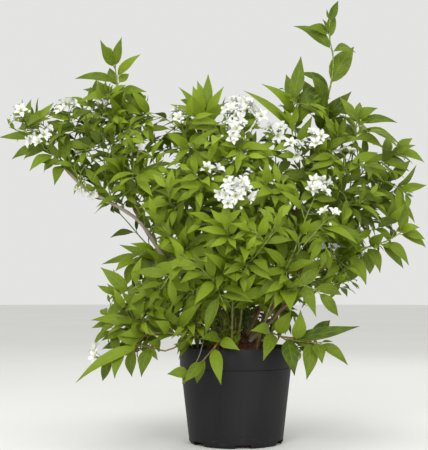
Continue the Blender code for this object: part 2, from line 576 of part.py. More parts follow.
class Growth:
    """Grows the plant by a fixed rule: wood, green stems, heads of flowers, then leaves."""

    def __init__(self):
        self.draw = random.Random(SEED)
        self.space = Space()
        self.owners = {}
        self.lines = {}
        self.radii = {}
        self.nodes = {}

    def grow(self):
        self.space.add(revolved(POT_PROFILE, POT_SIDES), "pot")
        self.space.add(crown(), "woody_canes")
        wood = [crown()]
        for cane in CANES:
            line = Line(eased([Vector(point) for point in cane.course]))
            self.lines[cane.name] = line
            self.radii[cane.name] = (cane.foot, CANE_TIP)
            wood.append(tapered(line, cane.foot, CANE_TIP, CANE_SIDES))
            self.space.add(wood[-1], "woody_canes")
        self.nodes["woody_canes"] = wood
        for stem in STEMS:
            owner = self.owners.get(stem.parent, stem.name)
            self.owners[stem.name] = owner
            self.nodes.setdefault(owner, []).append(self.stem(stem))
        for stem in STEMS:
            if stem.head:
                self.nodes[stem.head.name] = self.head(stem)
        for stem in STEMS:
            self.nodes[self.owners[stem.name]] += self.chosen_leaves(stem)
        for stem in STEMS:
            self.nodes[self.owners[stem.name]] += self.paired_leaves(stem)
        for twig, solid in self.twigs():
            self.nodes[self.owners[twig.name]] += [solid, *self.paired_leaves(twig)]

    def radius_at(self, name, share):
        foot, tip = self.radii[name]
        return foot + (tip - foot) * share

    def start_of(self, stem):
        """The first points of a stem, where it leaves its parent."""
        if stem.parent == "soil":
            return []
        point, ahead = self.lines[stem.parent].at(stem.share)
        if stem.parent not in CANE_NAMES:
            return [point]
        if stem.share == 1:
            return [point + ahead * CLEARANCE]
        away = Vector(stem.course[0]) - point
        away = (away - ahead * away.dot(ahead)).normalized()
        seat = point + away * (self.radius_at(stem.parent, stem.share) + CLEARANCE)
        return [seat, seat + away * 4 + ahead * 0.6]

    def stem(self, stem):
        """The bar of a green stem, bent clear of what stands in its way."""
        start = self.start_of(stem)
        fixed = len(start)
        course = start + [Vector(point) for point in stem.course]
        self.radii[stem.name] = (stem.foot, STEM_TIP)
        for attempt in range(MOST_BENDS):
            bend = 1.6 * attempt * Vector((math.cos(2.4 * attempt), math.sin(2.4 * attempt), 0.3))
            bent = [point + bend * math.sin(math.pi * n / (len(course) - 1)) if n >= max(fixed, 2)
                    else point for n, point in enumerate(course)]
            line = Line(eased(bent))
            tail = Line(clear_tail(line, self.clear_from(stem)))
            if self.space.is_free(tapered(tail, stem.foot, STEM_TIP, STEM_SIDES, AIR)):
                break
        self.lines[stem.name] = line
        solid = tapered(line, stem.foot, STEM_TIP, STEM_SIDES)
        self.space.add(solid, self.owners[stem.name])
        return solid

    def clear_from(self, stem):
        """How far from its start a stem is tested: past its seat or its parent's skin."""
        return 11.0 if stem.parent != "soil" else 1.0

    def head(self, stem):
        """The solids of a head of flowers: its axis, then its florets and buds."""
        head = stem.head
        tip, ahead = self.lines[stem.name].at(1)
        root = tip + ahead * CLEARANCE
        facing = Vector(head.facing).normalized()
        pole = (0.8 * ahead + facing).normalized()
        core = CORE_SHARE * head.reach
        axis = Line([root, root + ahead * 3, root + ahead * 3 + pole * core,
                     root + ahead * 3 + pole * 2 * core])
        solids = [bar(axis, (STEM_TIP, STEM_TIP, core, 0.35 * core), 4)]
        middle = axis.points[2]
        total = head.florets + head.buds
        for n in range(total):
            share = (n + 0.5) / total
            placed = self.flower(head, middle, pole, facing, share, n, n < head.florets, solids[1:])
            if placed:
                solids.append(placed)
        for solid in solids:
            self.space.add(solid, head.name)
        return solids

    def flower(self, head, middle, pole, facing, share, number, is_open, made):
        """One floret or bud where there is room for it, or nothing."""
        across, other = square_to(pole)
        for shorten in (1.0, 0.82, 1.2, 0.65, 1.4):
            for swing in (0.0, 0.35, -0.35, 0.7, -0.7, 1.05, -1.05, 1.4, -1.4):
                polar = math.radians(22 + 78 * share) + 0.15 * swing
                angle = GOLDEN_ANGLE * number + swing
                out = math.cos(polar) * pole
                out += math.sin(polar) * (math.cos(angle) * across + math.sin(angle) * other)
                if is_open:
                    centre = middle + out * head.reach * shorten
                    look = (0.75 * out + 0.7 * facing).normalized()
                    shape = Floret(middle, centre, look, FLORET_RADIUS, angle)
                else:
                    shape = Bud(middle, middle + out * 1.1 * head.reach * shorten)
                probe = tree_of(shape.solid(0.4))
                if self.space.is_free(shape.solid(0.4)) and not any(crosses(probe, o) for o in made):
                    return shape.solid()
        return None

    def chosen_leaves(self, stem):
        """The leaves placed by hand on a stem."""
        solids = []
        line = self.lines[stem.name]
        for leaf in stem.leaves:
            point, ahead = line.at(min(leaf.share, last_share(stem, line)))
            tip = Vector(leaf.tip)
            face = Vector((0, -0.75, 0.65)) + 0.3 * outward(tip)
            radius = self.radius_at(stem.name, leaf.share)
            shape = BENT_BLADE if leaf.rise >= BENT_LEAF else LARGE_BLADE
            blade = Blade(point, tip - point, leaf.width, leaf.rise, face, shape)
            solid = self.leaf(blade, ahead, radius, self.owners[stem.name])
            if solid:
                solids.append(solid)
        return solids

    def paired_leaves(self, stem):
        """The opposite pairs of leaves that a stem bears by rule, each pair turned from the last."""
        solids = []
        line = self.lines[stem.name]
        for n in range(stem.pairs):
            share = stem.start + (0.97 - stem.start) * n / max(1, stem.pairs - 1)
            if stem.pairs == 1:
                share = 0.8
            point, ahead = line.at(min(share, last_share(stem, line)))
            level, high = square_to(ahead)
            upright = abs(ahead.z)
            turn = math.radians(90 if upright > 0.5 or stem.pairs > 3 else 0) * (n % 2)
            size = stem.leaf * (0.8 + 0.45 * share - 0.65 * share ** 2)
            spread = math.radians(64 - 24 * share)
            for way in (1, -1):
                length = size * self.draw.uniform(0.86, 1.12)
                droop = self.draw.uniform(0.1, 0.5)
                out = way * (math.cos(turn) * level + math.sin(turn) * high)
                out = line.side(share, out)
                root = point + ahead * 0.3 * way
                solid = self.rule_leaf(stem.name, share, root, ahead, out, spread, length, droop)
                if solid:
                    solids.append(solid)
        return solids

    def rule_leaf(self, name, share, point, ahead, out, spread, length, droop):
        """A leaf of the pair, in the first of a few directions where it has room."""
        roll = self.draw.uniform(-0.35, 0.35)
        radius = self.radius_at(name, share)
        for swing, climb, size in LEAF_TRIES:
            aim = math.cos(spread) * ahead + math.sin(spread) * out
            aim = Matrix.Rotation(swing, 3, ahead) @ aim + climb * UP
            aim = (aim.normalized() - droop * UP).normalized()
            reach = aim * length * size
            tip = point + reach
            if in_front_of_crown(tip):
                continue
            front = 0.6 if tip.y < 60 else 0.0
            face = 0.45 * UP + 0.5 * outward(tip) + front * FRONT + roll * aim.cross(UP)
            width = reach.length * LEAF_SHAPE
            blade = Blade(point, reach, width, 0.12 * reach.length, face, SMALL_BLADE)
            solid = self.leaf(blade, ahead, radius, self.owners[name])
            if solid:
                return solid
        return None

    def leaf(self, blade, ahead, radius, owner):
        """The solid of a leaf, where it is clear of other nodes and, past its stem, of its own."""
        length = blade.reach.length
        slant = max(0.4, ahead.cross(blade.reach).length / length)
        bare = (radius + 1.2) / slant / length
        if not self.space.is_free(blade.solid(bare, 0.5 * AIR)):
            return None
        if not self.space.is_free(blade.solid(0.0, 0.5 * AIR), owner):
            return None
        solid = blade.solid()
        self.space.add(solid, owner)
        return solid

    def twigs(self):
        """Side twigs towards drawn points of the crown, each from the green stem nearest to it."""
        seats = []
        for stem in STEMS:
            line = self.lines[stem.name]
            count = int(line.length / 12)
            for n in range(count):
                share = (n + 0.5) / count
                point, ahead = line.at(share)
                if 0.15 < share < 0.93 and point.z > RIM_HEIGHT + 25:
                    seats.append((stem.name, share, point, ahead))
        made = []
        for _ in range(TWIG_DRAWS):
            if len(made) == MOST_TWIGS:
                break
            target = self.target()
            if in_front_of_crown(target):
                continue
            near = [seat for seat in seats if suits(seat, target)]
            if not near:
                continue
            name, share, point, ahead = min(near, key=lambda seat: (target - seat[2]).length)
            way = target - point
            middle = point + 0.2 * way.length * ahead + 0.42 * way
            line = Line([point, middle, target])
            tail = Line(clear_tail(line, 7))
            foot = min(1.2, 0.8 * self.radius_at(name, share))
            whole = tapered(line, foot, STEM_TIP, STEM_SIDES, AIR)
            beside = self.owners[name]
            if (self.space.is_free(tapered(tail, foot, STEM_TIP, STEM_SIDES, 5 * AIR))
                    and self.space.is_free(whole, beside)):
                twig = Stem(f"twig_{len(made)}", name, share, (), foot, TWIG_PAIRS, TWIG_LEAF, 0.42)
                self.lines[twig.name] = line
                self.radii[twig.name] = (foot, STEM_TIP)
                self.owners[twig.name] = self.owners[name]
                solid = tapered(line, foot, STEM_TIP, STEM_SIDES)
                self.space.add(solid, self.owners[name])
                made.append((twig, solid))
        return made

    def target(self):
        """A point drawn within the masses that make up the shrub's crown."""
        centre, radii = self.draw.choices(MASSES, weights=[mass[2] for mass in MASSES])[0][:2]
        while True:
            spot = Vector([self.draw.uniform(-1, 1) for _ in range(3)])
            if 0.3 < spot.length < 1:
                return Vector([c + r * k for c, r, k in zip(centre, radii, spot)])


def suits(seat, target):
    """Whether a twig can leave a stem at this seat for the target: near, and at a fair angle."""
    way = target - seat[2]
    if not 26 < way.length < 95:
        return False
    lean = way.normalized().dot(seat[3])
    away = way.normalized().dot((outward(seat[2]) + 0.6 * UP).normalized())
    return -0.2 < lean < 0.85 and away > -0.1


def in_front_of_crown(point):
    """Whether a point is where the photograph shows the bare stems and the soil."""
    return -42 < point.x < 58 and point.y < 10 and 150 < point.z < 232


def last_share(stem, line):
    """How far along a stem its last leaves stand, clear of a head of flowers on its tip."""
    return 1 - (7.0 if stem.head else 2.5) / line.length


def outward(point):
    """The level direction from the pot's axis to a point."""
    return Vector((point.x, point.y, 0)).normalized()


def clear_tail(line, skip):
    """The points of a line past a length from its start."""
    start, _ = line.at(skip / line.length)
    return [start] + [p for p, mark in zip(line.points, line.marks) if mark > skip + 1]


def revolved(profile, sides):
    """A solid of revolution about Z from a closed profile of radius and height."""
    points, faces, rings = [], [], []
    for radius, height in profile:
        if radius == 0:
            rings.append([len(points)] * sides)
            points.append(Vector((0, 0, height)))
            continue
        rings.append(list(range(len(points), len(points) + sides)))
        points += ring(Vector((0, 0, height)), UP, Vector((1, 0, 0)), radius, sides)
    pairs = list(zip(rings, rings[1:]))
    if profile[0][0]:
        pairs.append((rings[-1], rings[0]))
    for lower, upper in pairs:
        for k in range(sides):
            after = (k + 1) % sides
            corners = (lower[k], lower[after], upper[after], upper[k])
            faces.append(tuple(dict.fromkeys(corners)))
    return Solid(points, faces)


POT_PROFILE = (
    (0, 0), (REST_RADIUS, 0), (REST_RADIUS + 2.5, 3.0), (FOOT_RADIUS - 6.5, 3.0), (FOOT_RADIUS - 5, 0),
    (FOOT_RADIUS, 0), (BASE_RADIUS - 0.9, 3.0), (BASE_RADIUS, 10), (COLLAR_FOOT_RADIUS, COLLAR_FOOT_HEIGHT - 1.0),
    (RIM_RADIUS - 0.6, COLLAR_FOOT_HEIGHT + 0.8), (RIM_RADIUS, RIM_HEIGHT - 1.0),
    (RIM_RADIUS - 0.9, RIM_HEIGHT), (RIM_RADIUS - POT_WALL, RIM_HEIGHT - 0.6),
    (RIM_RADIUS - POT_WALL - 0.8, COLLAR_FOOT_HEIGHT + 1.0),
    (COLLAR_FOOT_RADIUS - POT_WALL - 0.9, COLLAR_FOOT_HEIGHT - 3),
    (BASE_RADIUS - POT_WALL - 0.6, FLOOR_TOP), (0, FLOOR_TOP),
)


def soil_height(radius):
    """How high the soil stands at a radius: level at the wall, mounded round the crown."""
    return SOIL_LEVEL + SOIL_MOUND * math.exp(-(radius / MOUND_RADIUS) ** 2)


def soil_profile():
    gap = CLEARANCE + 0.25
    inner = RIM_RADIUS - POT_WALL - 0.8 - gap
    base = BASE_RADIUS - POT_WALL - gap
    low = FLOOR_TOP + CLEARANCE
    profile = [(0, low), (base - 1.6, low), (COLLAR_FOOT_RADIUS - POT_WALL - 0.9 - gap, 124)]
    for radius in (inner, *SOIL_RINGS):
        profile.append((radius, soil_height(radius)))
    return tuple(profile) + ((0, soil_height(0)),)


def crown(swell=0.0):
    """The knot of wood from which the canes rise, under the mound of soil."""
    low = SOIL_LEVEL - HOLE_DEPTH - swell
    radius = CROWN_RADIUS + swell
    top = CROWN_HEIGHT + swell
    profile = ((0, low), (radius, low), (radius, top - 6), (radius - 6, top), (0, top))
    return revolved(profile, CROWN_SIDES)


def material(name, colour, roughness):
    """A Principled material of one colour, given as sRGB hex."""
    made = bpy.data.materials.new(name)
    made.use_nodes = True
    shader = made.node_tree.nodes["Principled BSDF"]
    parts = [int(colour[k:k + 2], 16) / 255 for k in (1, 3, 5)]
    linear = [part / 12.92 if part <= 0.04045 else ((part + 0.055) / 1.055) ** 2.4 for part in parts]
    shader.inputs["Base Color"].default_value = (*linear, 1)
    shader.inputs["Roughness"].default_value = roughness
    shader.inputs["Metallic"].default_value = 0
    made.diffuse_color = (*linear, 1)
    return made


def mesh_object(name, solid):
    mesh = bpy.data.meshes.new(name)
    mesh.from_pydata([point * METRES for point in solid.points], [], solid.faces)
    return bpy.data.objects.new(name, mesh)


def whole_body(points, faces):
    """The faces of the largest closed surface: sealed hollows are filled, loose scraps dropped."""
    parent = list(range(len(points)))

    def head_of(n):
        while parent[n] != n:
            parent[n] = parent[parent[n]]
            n = parent[n]
        return n

    for face in faces:
        for corner in face[1:]:
            parent[head_of(corner)] = head_of(face[0])
    sizes = {}
    for face in faces:
        first = points[face[0]]
        body = head_of(face[0])
        for second, third in zip(face[1:], face[2:]):
            volume = first.dot(points[second].cross(points[third]))
            sizes[body] = sizes.get(body, 0) + volume
    largest = max(sizes, key=lambda body: sizes[body])
    return [face for face in faces if head_of(face[0]) == largest]


def fused(name, solids, finish, operation="UNION"):
    """One closed mesh: the first solid with all the rest joined to it, or cut from it."""
    body = mesh_object(name, solids[0])
    bpy.context.scene.collection.objects.link(body)
    others = bpy.data.collections.new(name + "_parts")
    for number, solid in enumerate(solids[1:]):
        others.objects.link(mesh_object(f"{name}_part_{number}", solid))
    if others.objects:
        join = body.modifiers.new("join", "BOOLEAN")
        join.operation = operation
        join.operand_type = "COLLECTION"
        join.collection = others
        join.solver = "MANIFOLD"
        evaluated = body.evaluated_get(bpy.context.evaluated_depsgraph_get())
        joined = bpy.data.meshes.new_from_object(evaluated)
        body.modifiers.clear()
        points = [vertex.co.copy() for vertex in joined.vertices]
        kept = whole_body(points, [tuple(face.vertices) for face in joined.polygons])
        used = sorted({corner for face in kept for corner in face})
        place = {corner: n for n, corner in enumerate(used)}
        mesh = bpy.data.meshes.new(name)
        mesh.from_pydata([points[corner] for corner in used], [],
                         [tuple(place[corner] for corner in face) for face in kept])
        body.data = mesh
        for part in list(others.objects):
            bpy.data.objects.remove(part)
        bpy.data.collections.remove(others)
    body.data.materials.append(finish)
    return body


def box(centre, size, turn):
    """A block of the given size about a centre, turned about Z."""
    frame = Matrix.Translation(Vector(centre)) @ Matrix.Rotation(turn, 4, "Z")
    corners = ((-0.5, -0.5), (0.5, -0.5), (0.5, 0.5), (-0.5, 0.5))
    points = [frame @ Vector((x * size[0], y * size[1], z * size[2]))
              for z in (-0.5, 0.5) for x, y in corners]
    return Solid(points, skin(2, 4))


def build_pot(finish):
    cutters = []
    for n in range(NOTCHES):
        turn = FIRST_NOTCH + math.tau * n / NOTCHES
        centre = (79 * math.cos(turn), 79 * math.sin(turn), 0)
        cutters.append(box(centre, (20, NOTCH_WIDTH, 2 * NOTCH_HEIGHT), turn))
    pot = fused("pot", [revolved(POT_PROFILE, POT_SIDES), *cutters], finish, "DIFFERENCE")
    pot.data.shade_smooth()
    pot.data.set_sharp_from_angle(angle=math.radians(24))


def build_soil(finish, growth):
    """The soil, with a plain hole for the crown and for each stem, along its own course."""
    gap = CLEARANCE + 0.15
    holes = [crown(gap)]
    buried = [(cane, CANE_TIP, CANE_SIDES) for cane in CANES]
    buried += [(stem, STEM_TIP, STEM_SIDES) for stem in STEMS if stem.parent == "soil"]
    for stem, tip, sides in buried:
        line = growth.lines[stem.name]
        course = [line.points[0] - line.heads[0] * gap, *line.points[1:]]
        holes.append(tapered(Line(course), stem.foot, tip, sides, gap))
    solid = revolved(soil_profile(), SOIL_SIDES)
    draw = random.Random(SEED)
    for point in solid.points:
        if SOIL_LEVEL < point.z and 8 < point.xy.length < 88:
            point.z += draw.uniform(-1.6, 1.6)
    fused("soil", [solid, *holes], finish, "DIFFERENCE")


def main():
    for old in list(bpy.data.objects):
        bpy.data.objects.remove(old)
    black = material("pot_plastic", "#1E1E1F", 0.5)
    earth = material("potting_soil", "#3A1C12", 0.95)
    bark = material("bark", "#7A6148", 0.8)
    green = material("leaf_green", "#6E8F22", 0.5)
    white = material("petal_white", "#F2F3EA", 0.55)
    build_pot(black)
    growth = Growth()
    growth.grow()
    build_soil(earth, growth)
    for name, solids in growth.nodes.items():
        finish = bark if name == "woody_canes" else white if name.startswith("flowers") else green
        fused(name, solids, finish)


if __name__ == "__main__":
    main()
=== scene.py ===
"""Potted deutzia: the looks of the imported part, a white-flowered shrub in a plain black pot.

The plant grows here by the rule that shaped the part's solids, from the same stems, so each
fine leaf, flower and stem lies where its solid is. Finer side twigs then fill the crown.
Lengths are in millimetres in the plan of the plant, and meshes are made in metres.
"""

import itertools
import json
import logging
import random
from bisect import bisect_left
from collections import defaultdict
from dataclasses import dataclass, field, replace
from enum import Enum
from functools import lru_cache
from math import atan2, ceil, cos, exp, hypot, pi, radians, sin, tau
from typing import NamedTuple

import bmesh
import bpy
import numpy as np
from bmesh.types import BMesh
from bpy.types import ID, Material, Mesh, NodeSocket, NodeTree, Object
from mathutils import Matrix, Vector, noise
from mathutils.bvhtree import BVHTree
from mathutils.kdtree import KDTree

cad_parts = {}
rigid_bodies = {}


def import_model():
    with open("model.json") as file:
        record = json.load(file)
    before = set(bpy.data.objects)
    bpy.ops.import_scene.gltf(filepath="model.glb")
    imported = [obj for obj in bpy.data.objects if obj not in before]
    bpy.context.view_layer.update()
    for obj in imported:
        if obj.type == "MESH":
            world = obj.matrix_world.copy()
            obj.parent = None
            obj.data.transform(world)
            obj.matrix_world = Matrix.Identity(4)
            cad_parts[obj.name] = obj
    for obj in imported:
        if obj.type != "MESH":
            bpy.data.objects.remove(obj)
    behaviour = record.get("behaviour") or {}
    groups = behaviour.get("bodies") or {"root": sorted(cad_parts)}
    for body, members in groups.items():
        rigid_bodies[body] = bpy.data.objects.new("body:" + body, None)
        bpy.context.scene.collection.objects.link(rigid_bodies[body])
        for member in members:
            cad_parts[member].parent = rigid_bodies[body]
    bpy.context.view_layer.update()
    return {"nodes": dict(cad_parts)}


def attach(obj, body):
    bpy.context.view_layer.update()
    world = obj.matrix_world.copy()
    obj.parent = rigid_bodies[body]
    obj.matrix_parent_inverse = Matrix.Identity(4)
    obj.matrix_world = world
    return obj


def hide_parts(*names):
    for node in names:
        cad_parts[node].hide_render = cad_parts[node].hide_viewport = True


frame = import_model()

LOG = logging.getLogger("deutzia")
METRES = 0.001
Point = tuple[float, float, float]
Section = tuple[tuple[float, float], ...]
Radii = np.ndarray | list[float] | tuple[float, ...]
Box = tuple[list[float], list[float]]
Mass = tuple[Point, Point, float]
Input = NodeSocket | tuple | float | str | None
Links = dict[str, NodeSocket]
UP = Vector((0, 0, 1))
FRONT = Vector((0, -1, 0))
CAMERA = Vector((-37, -1700, 258))

# Pot
POT_SIDES = 36
FOOT_RADIUS = 75.5
BASE_RADIUS = 79.5
COLLAR_FOOT_RADIUS = 93.0
COLLAR_FOOT_HEIGHT = 127.0
RIM_RADIUS = 95.0
RIM_HEIGHT = 160.0
POT_WALL = 1.8
FLOOR_TOP = 5.0
REST_RADIUS = 38.0
POT_PROFILE = (
    (0, 0), (REST_RADIUS, 0), (REST_RADIUS + 2.5, 3.0), (FOOT_RADIUS - 6.5, 3.0), (FOOT_RADIUS - 5, 0),
    (FOOT_RADIUS, 0), (BASE_RADIUS - 0.9, 3.0), (BASE_RADIUS, 10),
    (COLLAR_FOOT_RADIUS, COLLAR_FOOT_HEIGHT - 1.0), (RIM_RADIUS - 0.6, COLLAR_FOOT_HEIGHT + 0.8),
    (RIM_RADIUS, RIM_HEIGHT - 1.0), (RIM_RADIUS - 0.9, RIM_HEIGHT), (RIM_RADIUS - POT_WALL, RIM_HEIGHT - 0.6),
    (RIM_RADIUS - POT_WALL - 0.8, COLLAR_FOOT_HEIGHT + 1.0),
    (COLLAR_FOOT_RADIUS - POT_WALL - 0.9, COLLAR_FOOT_HEIGHT - 3),
    (BASE_RADIUS - POT_WALL - 0.6, FLOOR_TOP), (0, FLOOR_TOP),
)

# Soil, and the knot of wood under its mound from which the canes rise
CLEARANCE = 0.35
SOIL_LEVEL = 146.0
SOIL_MOUND = 40.0
MOUND_RADIUS = 37.0
CROWN_RADIUS = 20.0
CROWN_FOOT = SOIL_LEVEL - 18.0
CROWN_HEIGHT = 166.0
CROWN_SIDES = 12
CROWN_PROFILE = ((0, CROWN_FOOT), (CROWN_RADIUS, CROWN_FOOT), (CROWN_RADIUS, CROWN_HEIGHT - 6),
                 (CROWN_RADIUS - 6, CROWN_HEIGHT), (0, CROWN_HEIGHT))

# Growth
SEED = 41
CANE_SIDES = 5
STEM_SIDES = 4
STEM_TIP = 0.8
STEP = 54.0
CANE_TIP = 2.2
AIR = 0.6
# Each try bends a stem further, and further round by a turn in radians
MOST_BENDS = 14
BEND_STEP = 1.6
BEND_TURN = 2.4
# How far from its foot a stem or a twig may meet what it leaves
STEM_JOINT = 11.0
SOIL_JOINT = 1.0
TWIG_JOINT = 7.0
# Where the bare stems and the soil show: limits of X and Z, and the furthest Y
BARE_ACROSS = (-42, 58)
BARE_HEIGHTS = (150, 232)
BARE_BACK = 10

# Leaves
LEAF_SHAPE = 0.35
LEAF_STALK = 1.2
LEAST_SLANT = 0.4
LEAF_ROLL = 0.35
LEAF_SIZES = (0.86, 1.12)
LAST_PAIR = 0.97
LONE_PAIR = 0.8
# How far from a stem's tip its last leaves stand, with flowers on the tip and without
HEAD_GAP = 7.0
TIP_GAP = 2.5
BENT_LEAF = 9.5
FOLD = 0.16
KEEL = 0.7
KEEL_SHARE = 0.06
# The UV's U at each of the six sides of a fine leaf or petal
THIN_ACROSS = (1.0, 0.5, 0.0, 0.25, 0.5, 0.75)
LEAF_TRIES = ((0.0, 0.0, 1.0), (0.35, 0.1, 1.0), (-0.35, 0.1, 1.0), (0.0, 0.45, 1.0), (0.7, 0.2, 0.9),
              (-0.7, 0.2, 0.9), (0.0, -0.45, 0.95), (0.3, 0.3, 0.75), (-0.3, -0.2, 0.75), (0.9, 0.5, 0.7))

# Side twigs, and the masses of the crown: centre, half sizes and share of the twigs
TWIG_DRAWS = 2500
MOST_TWIGS = 20
TWIG_PAIRS = 3
TWIG_LEAF = 64.0
TWIG_SHORTEST = 26.0
TWIG_LONGEST = 95.0
LAST_SEAT = 0.93
MASSES = (
    ((40, 0, 370), (190, 190, 180), 10),
    ((-270, -45, 515), (115, 75, 65), 3),
    ((-165, 0, 440), (85, 110, 150), 4),
    ((205, -10, 410), (125, 150, 120), 5),
    ((-130, -80, 225), (90, 110, 60), 2),
    ((-10, -10, 520), (90, 90, 60), 2),
    ((120, -10, 540), (60, 60, 60), 1),
)

# The shrub's outline from the front, as X and Z at the pot's axis
CROWN_OUTLINE = (
    (-396, 562), (-378, 588), (-350, 584), (-320, 590), (-278, 612), (-258, 620), (-224, 620),
    (-164, 602), (-152, 576), (-146, 536), (-122, 536), (-120, 570), (-86, 600), (-24, 614), (6, 604),
    (34, 584), (38, 534), (44, 490), (62, 492), (62, 564), (74, 612), (96, 652), (108, 648),
    (130, 604), (186, 614), (198, 584), (242, 558), (244, 524), (292, 506), (320, 482), (310, 466),
    (270, 456), (324, 436), (320, 422), (288, 404), (306, 364), (296, 346), (278, 322), (236, 310),
    (220, 272), (160, 258), (164, 232), (112, 220), (112, 198), (152, 178), (142, 152), (130, 130),
    (82, 134), (68, 162), (-44, 162), (-54, 134), (-118, 130), (-146, 140), (-232, 144), (-248, 158),
    (-224, 178), (-238, 214), (-210, 246), (-210, 272), (-188, 296), (-210, 316), (-178, 338),
    (-158, 358), (-178, 380), (-200, 400), (-234, 420), (-266, 440), (-320, 458), (-344, 480),
    (-378, 500), (-364, 516), (-394, 538),
)

# Flowers: the petal's tip and the notch after it, as degrees, shares of the radius and lift
PETALS = 5
PETAL = ((0, 1.0, 0.2), (36, 0.44, 0.04))
RIM = PETALS * len(PETAL)
FLORET_RADIUS = 11.0
NECK_SHARE = 0.22
BUD_RADIUS = 1.7
BUD_SHOULDER = 3.0
CORE_SHARE = 0.28
CALYX = 1.3
# Which of the neck's three points each point of a packed flower's rim joins
NECK_SEATS = (0, 0, 0, 0, 1, 1, 1, 2, 2, 2)
GOLDEN_ANGLE = radians(137.5)
# The first flower's angle from its head's pole, and how much further the last one's is, in degrees
FIRST_FLOWER = 22
FLOWER_SPAN = 78
# The shares of its reach and the turns, in radians, that a flower tries for room
FLOWER_REACHES = (1.0, 0.82, 1.2, 0.65, 1.4)
FLOWER_SWINGS = (0.0, 0.35, -0.35, 0.7, -0.7, 1.05, -1.05, 1.4, -1.4)


class Form(Enum):
    """The rings of a packed leaf, as shares of its length and of its width."""

    SMALL = ((0.36, 1.0),)
    LARGE = ((0.28, 1.0), (0.64, 0.72))
    BENT = ((0.24, 0.92), (0.5, 0.92), (0.76, 0.5))


@dataclass(frozen=True)
class Leaf:
    """A listed leaf: where it leaves its stem, where its tip is, and its width and arch."""

    share: float
    tip: Point
    width: float
    rise: float = 6.0


@dataclass(frozen=True)
class Head:
    """A head of flowers at a stem's tip: its florets and buds, and how far its stalks reach."""

    name: str
    florets: int
    buds: int
    reach: float
    facing: Point = (0.0, -0.6, 0.5)


@dataclass(frozen=True)
class Stem:
    """A stem from its parent, at a share of the parent's length, through a course of points."""

    name: str
    parent: str
    share: float
    course: tuple[Point, ...]
    foot: float = 1.5
    pairs: int = 4
    leaf: float = 58.0
    start: float = 0.12
    leaves: tuple[Leaf, ...] = ()
    head: Head | None = None


# The woody canes, from the crown outwards: bare grey branches and brown peeling stems.
CANES = (
    Stem("low_left_cane", "crown", 0, ((-14, -6, 158), (-32, -10, 190), (-61, -15, 238), (-97, -20, 285),
         (-124, -25, 313), (-144, -28, 346), (-169, -30, 375), (-211, -35, 401), (-249, -40, 421),
         (-283, -45, 454)), 4.2, 0),
    Stem("left_cane", "crown", 0, ((-12, 6, 158), (-35, 8, 204), (-69, 12, 254), (-119, 16, 308),
         (-152, 16, 354), (-180, 15, 409), (-192, 10, 469), (-195, 5, 529)), 4.4, 0),
    Stem("middle_cane", "crown", 0, ((-4, 10, 158), (-22, 20, 205), (-40, 20, 254), (-56, 15, 311),
         (-64, 10, 357), (-61, 5, 443), (-51, 0, 505)), 4.4, 0),
    Stem("right_leader_cane", "crown", 0, ((8, 9, 158), (32, 12, 204), (62, 20, 272), (94, 25, 358),
         (122, 15, 444), (138, 6, 500)), 4.4, 0),
    Stem("right_cane", "crown", 0, ((13, 0, 158), (42, -4, 196), (82, -18, 255), (132, -27, 321),
         (174, -30, 405), (194, -26, 465)), 4.2, 0),
    Stem("low_right_cane", "crown", 0, ((12, -9, 158), (46, -22, 190), (81, -42, 230), (121, -56, 274),
         (163, -60, 303)), 3.8, 0),
)

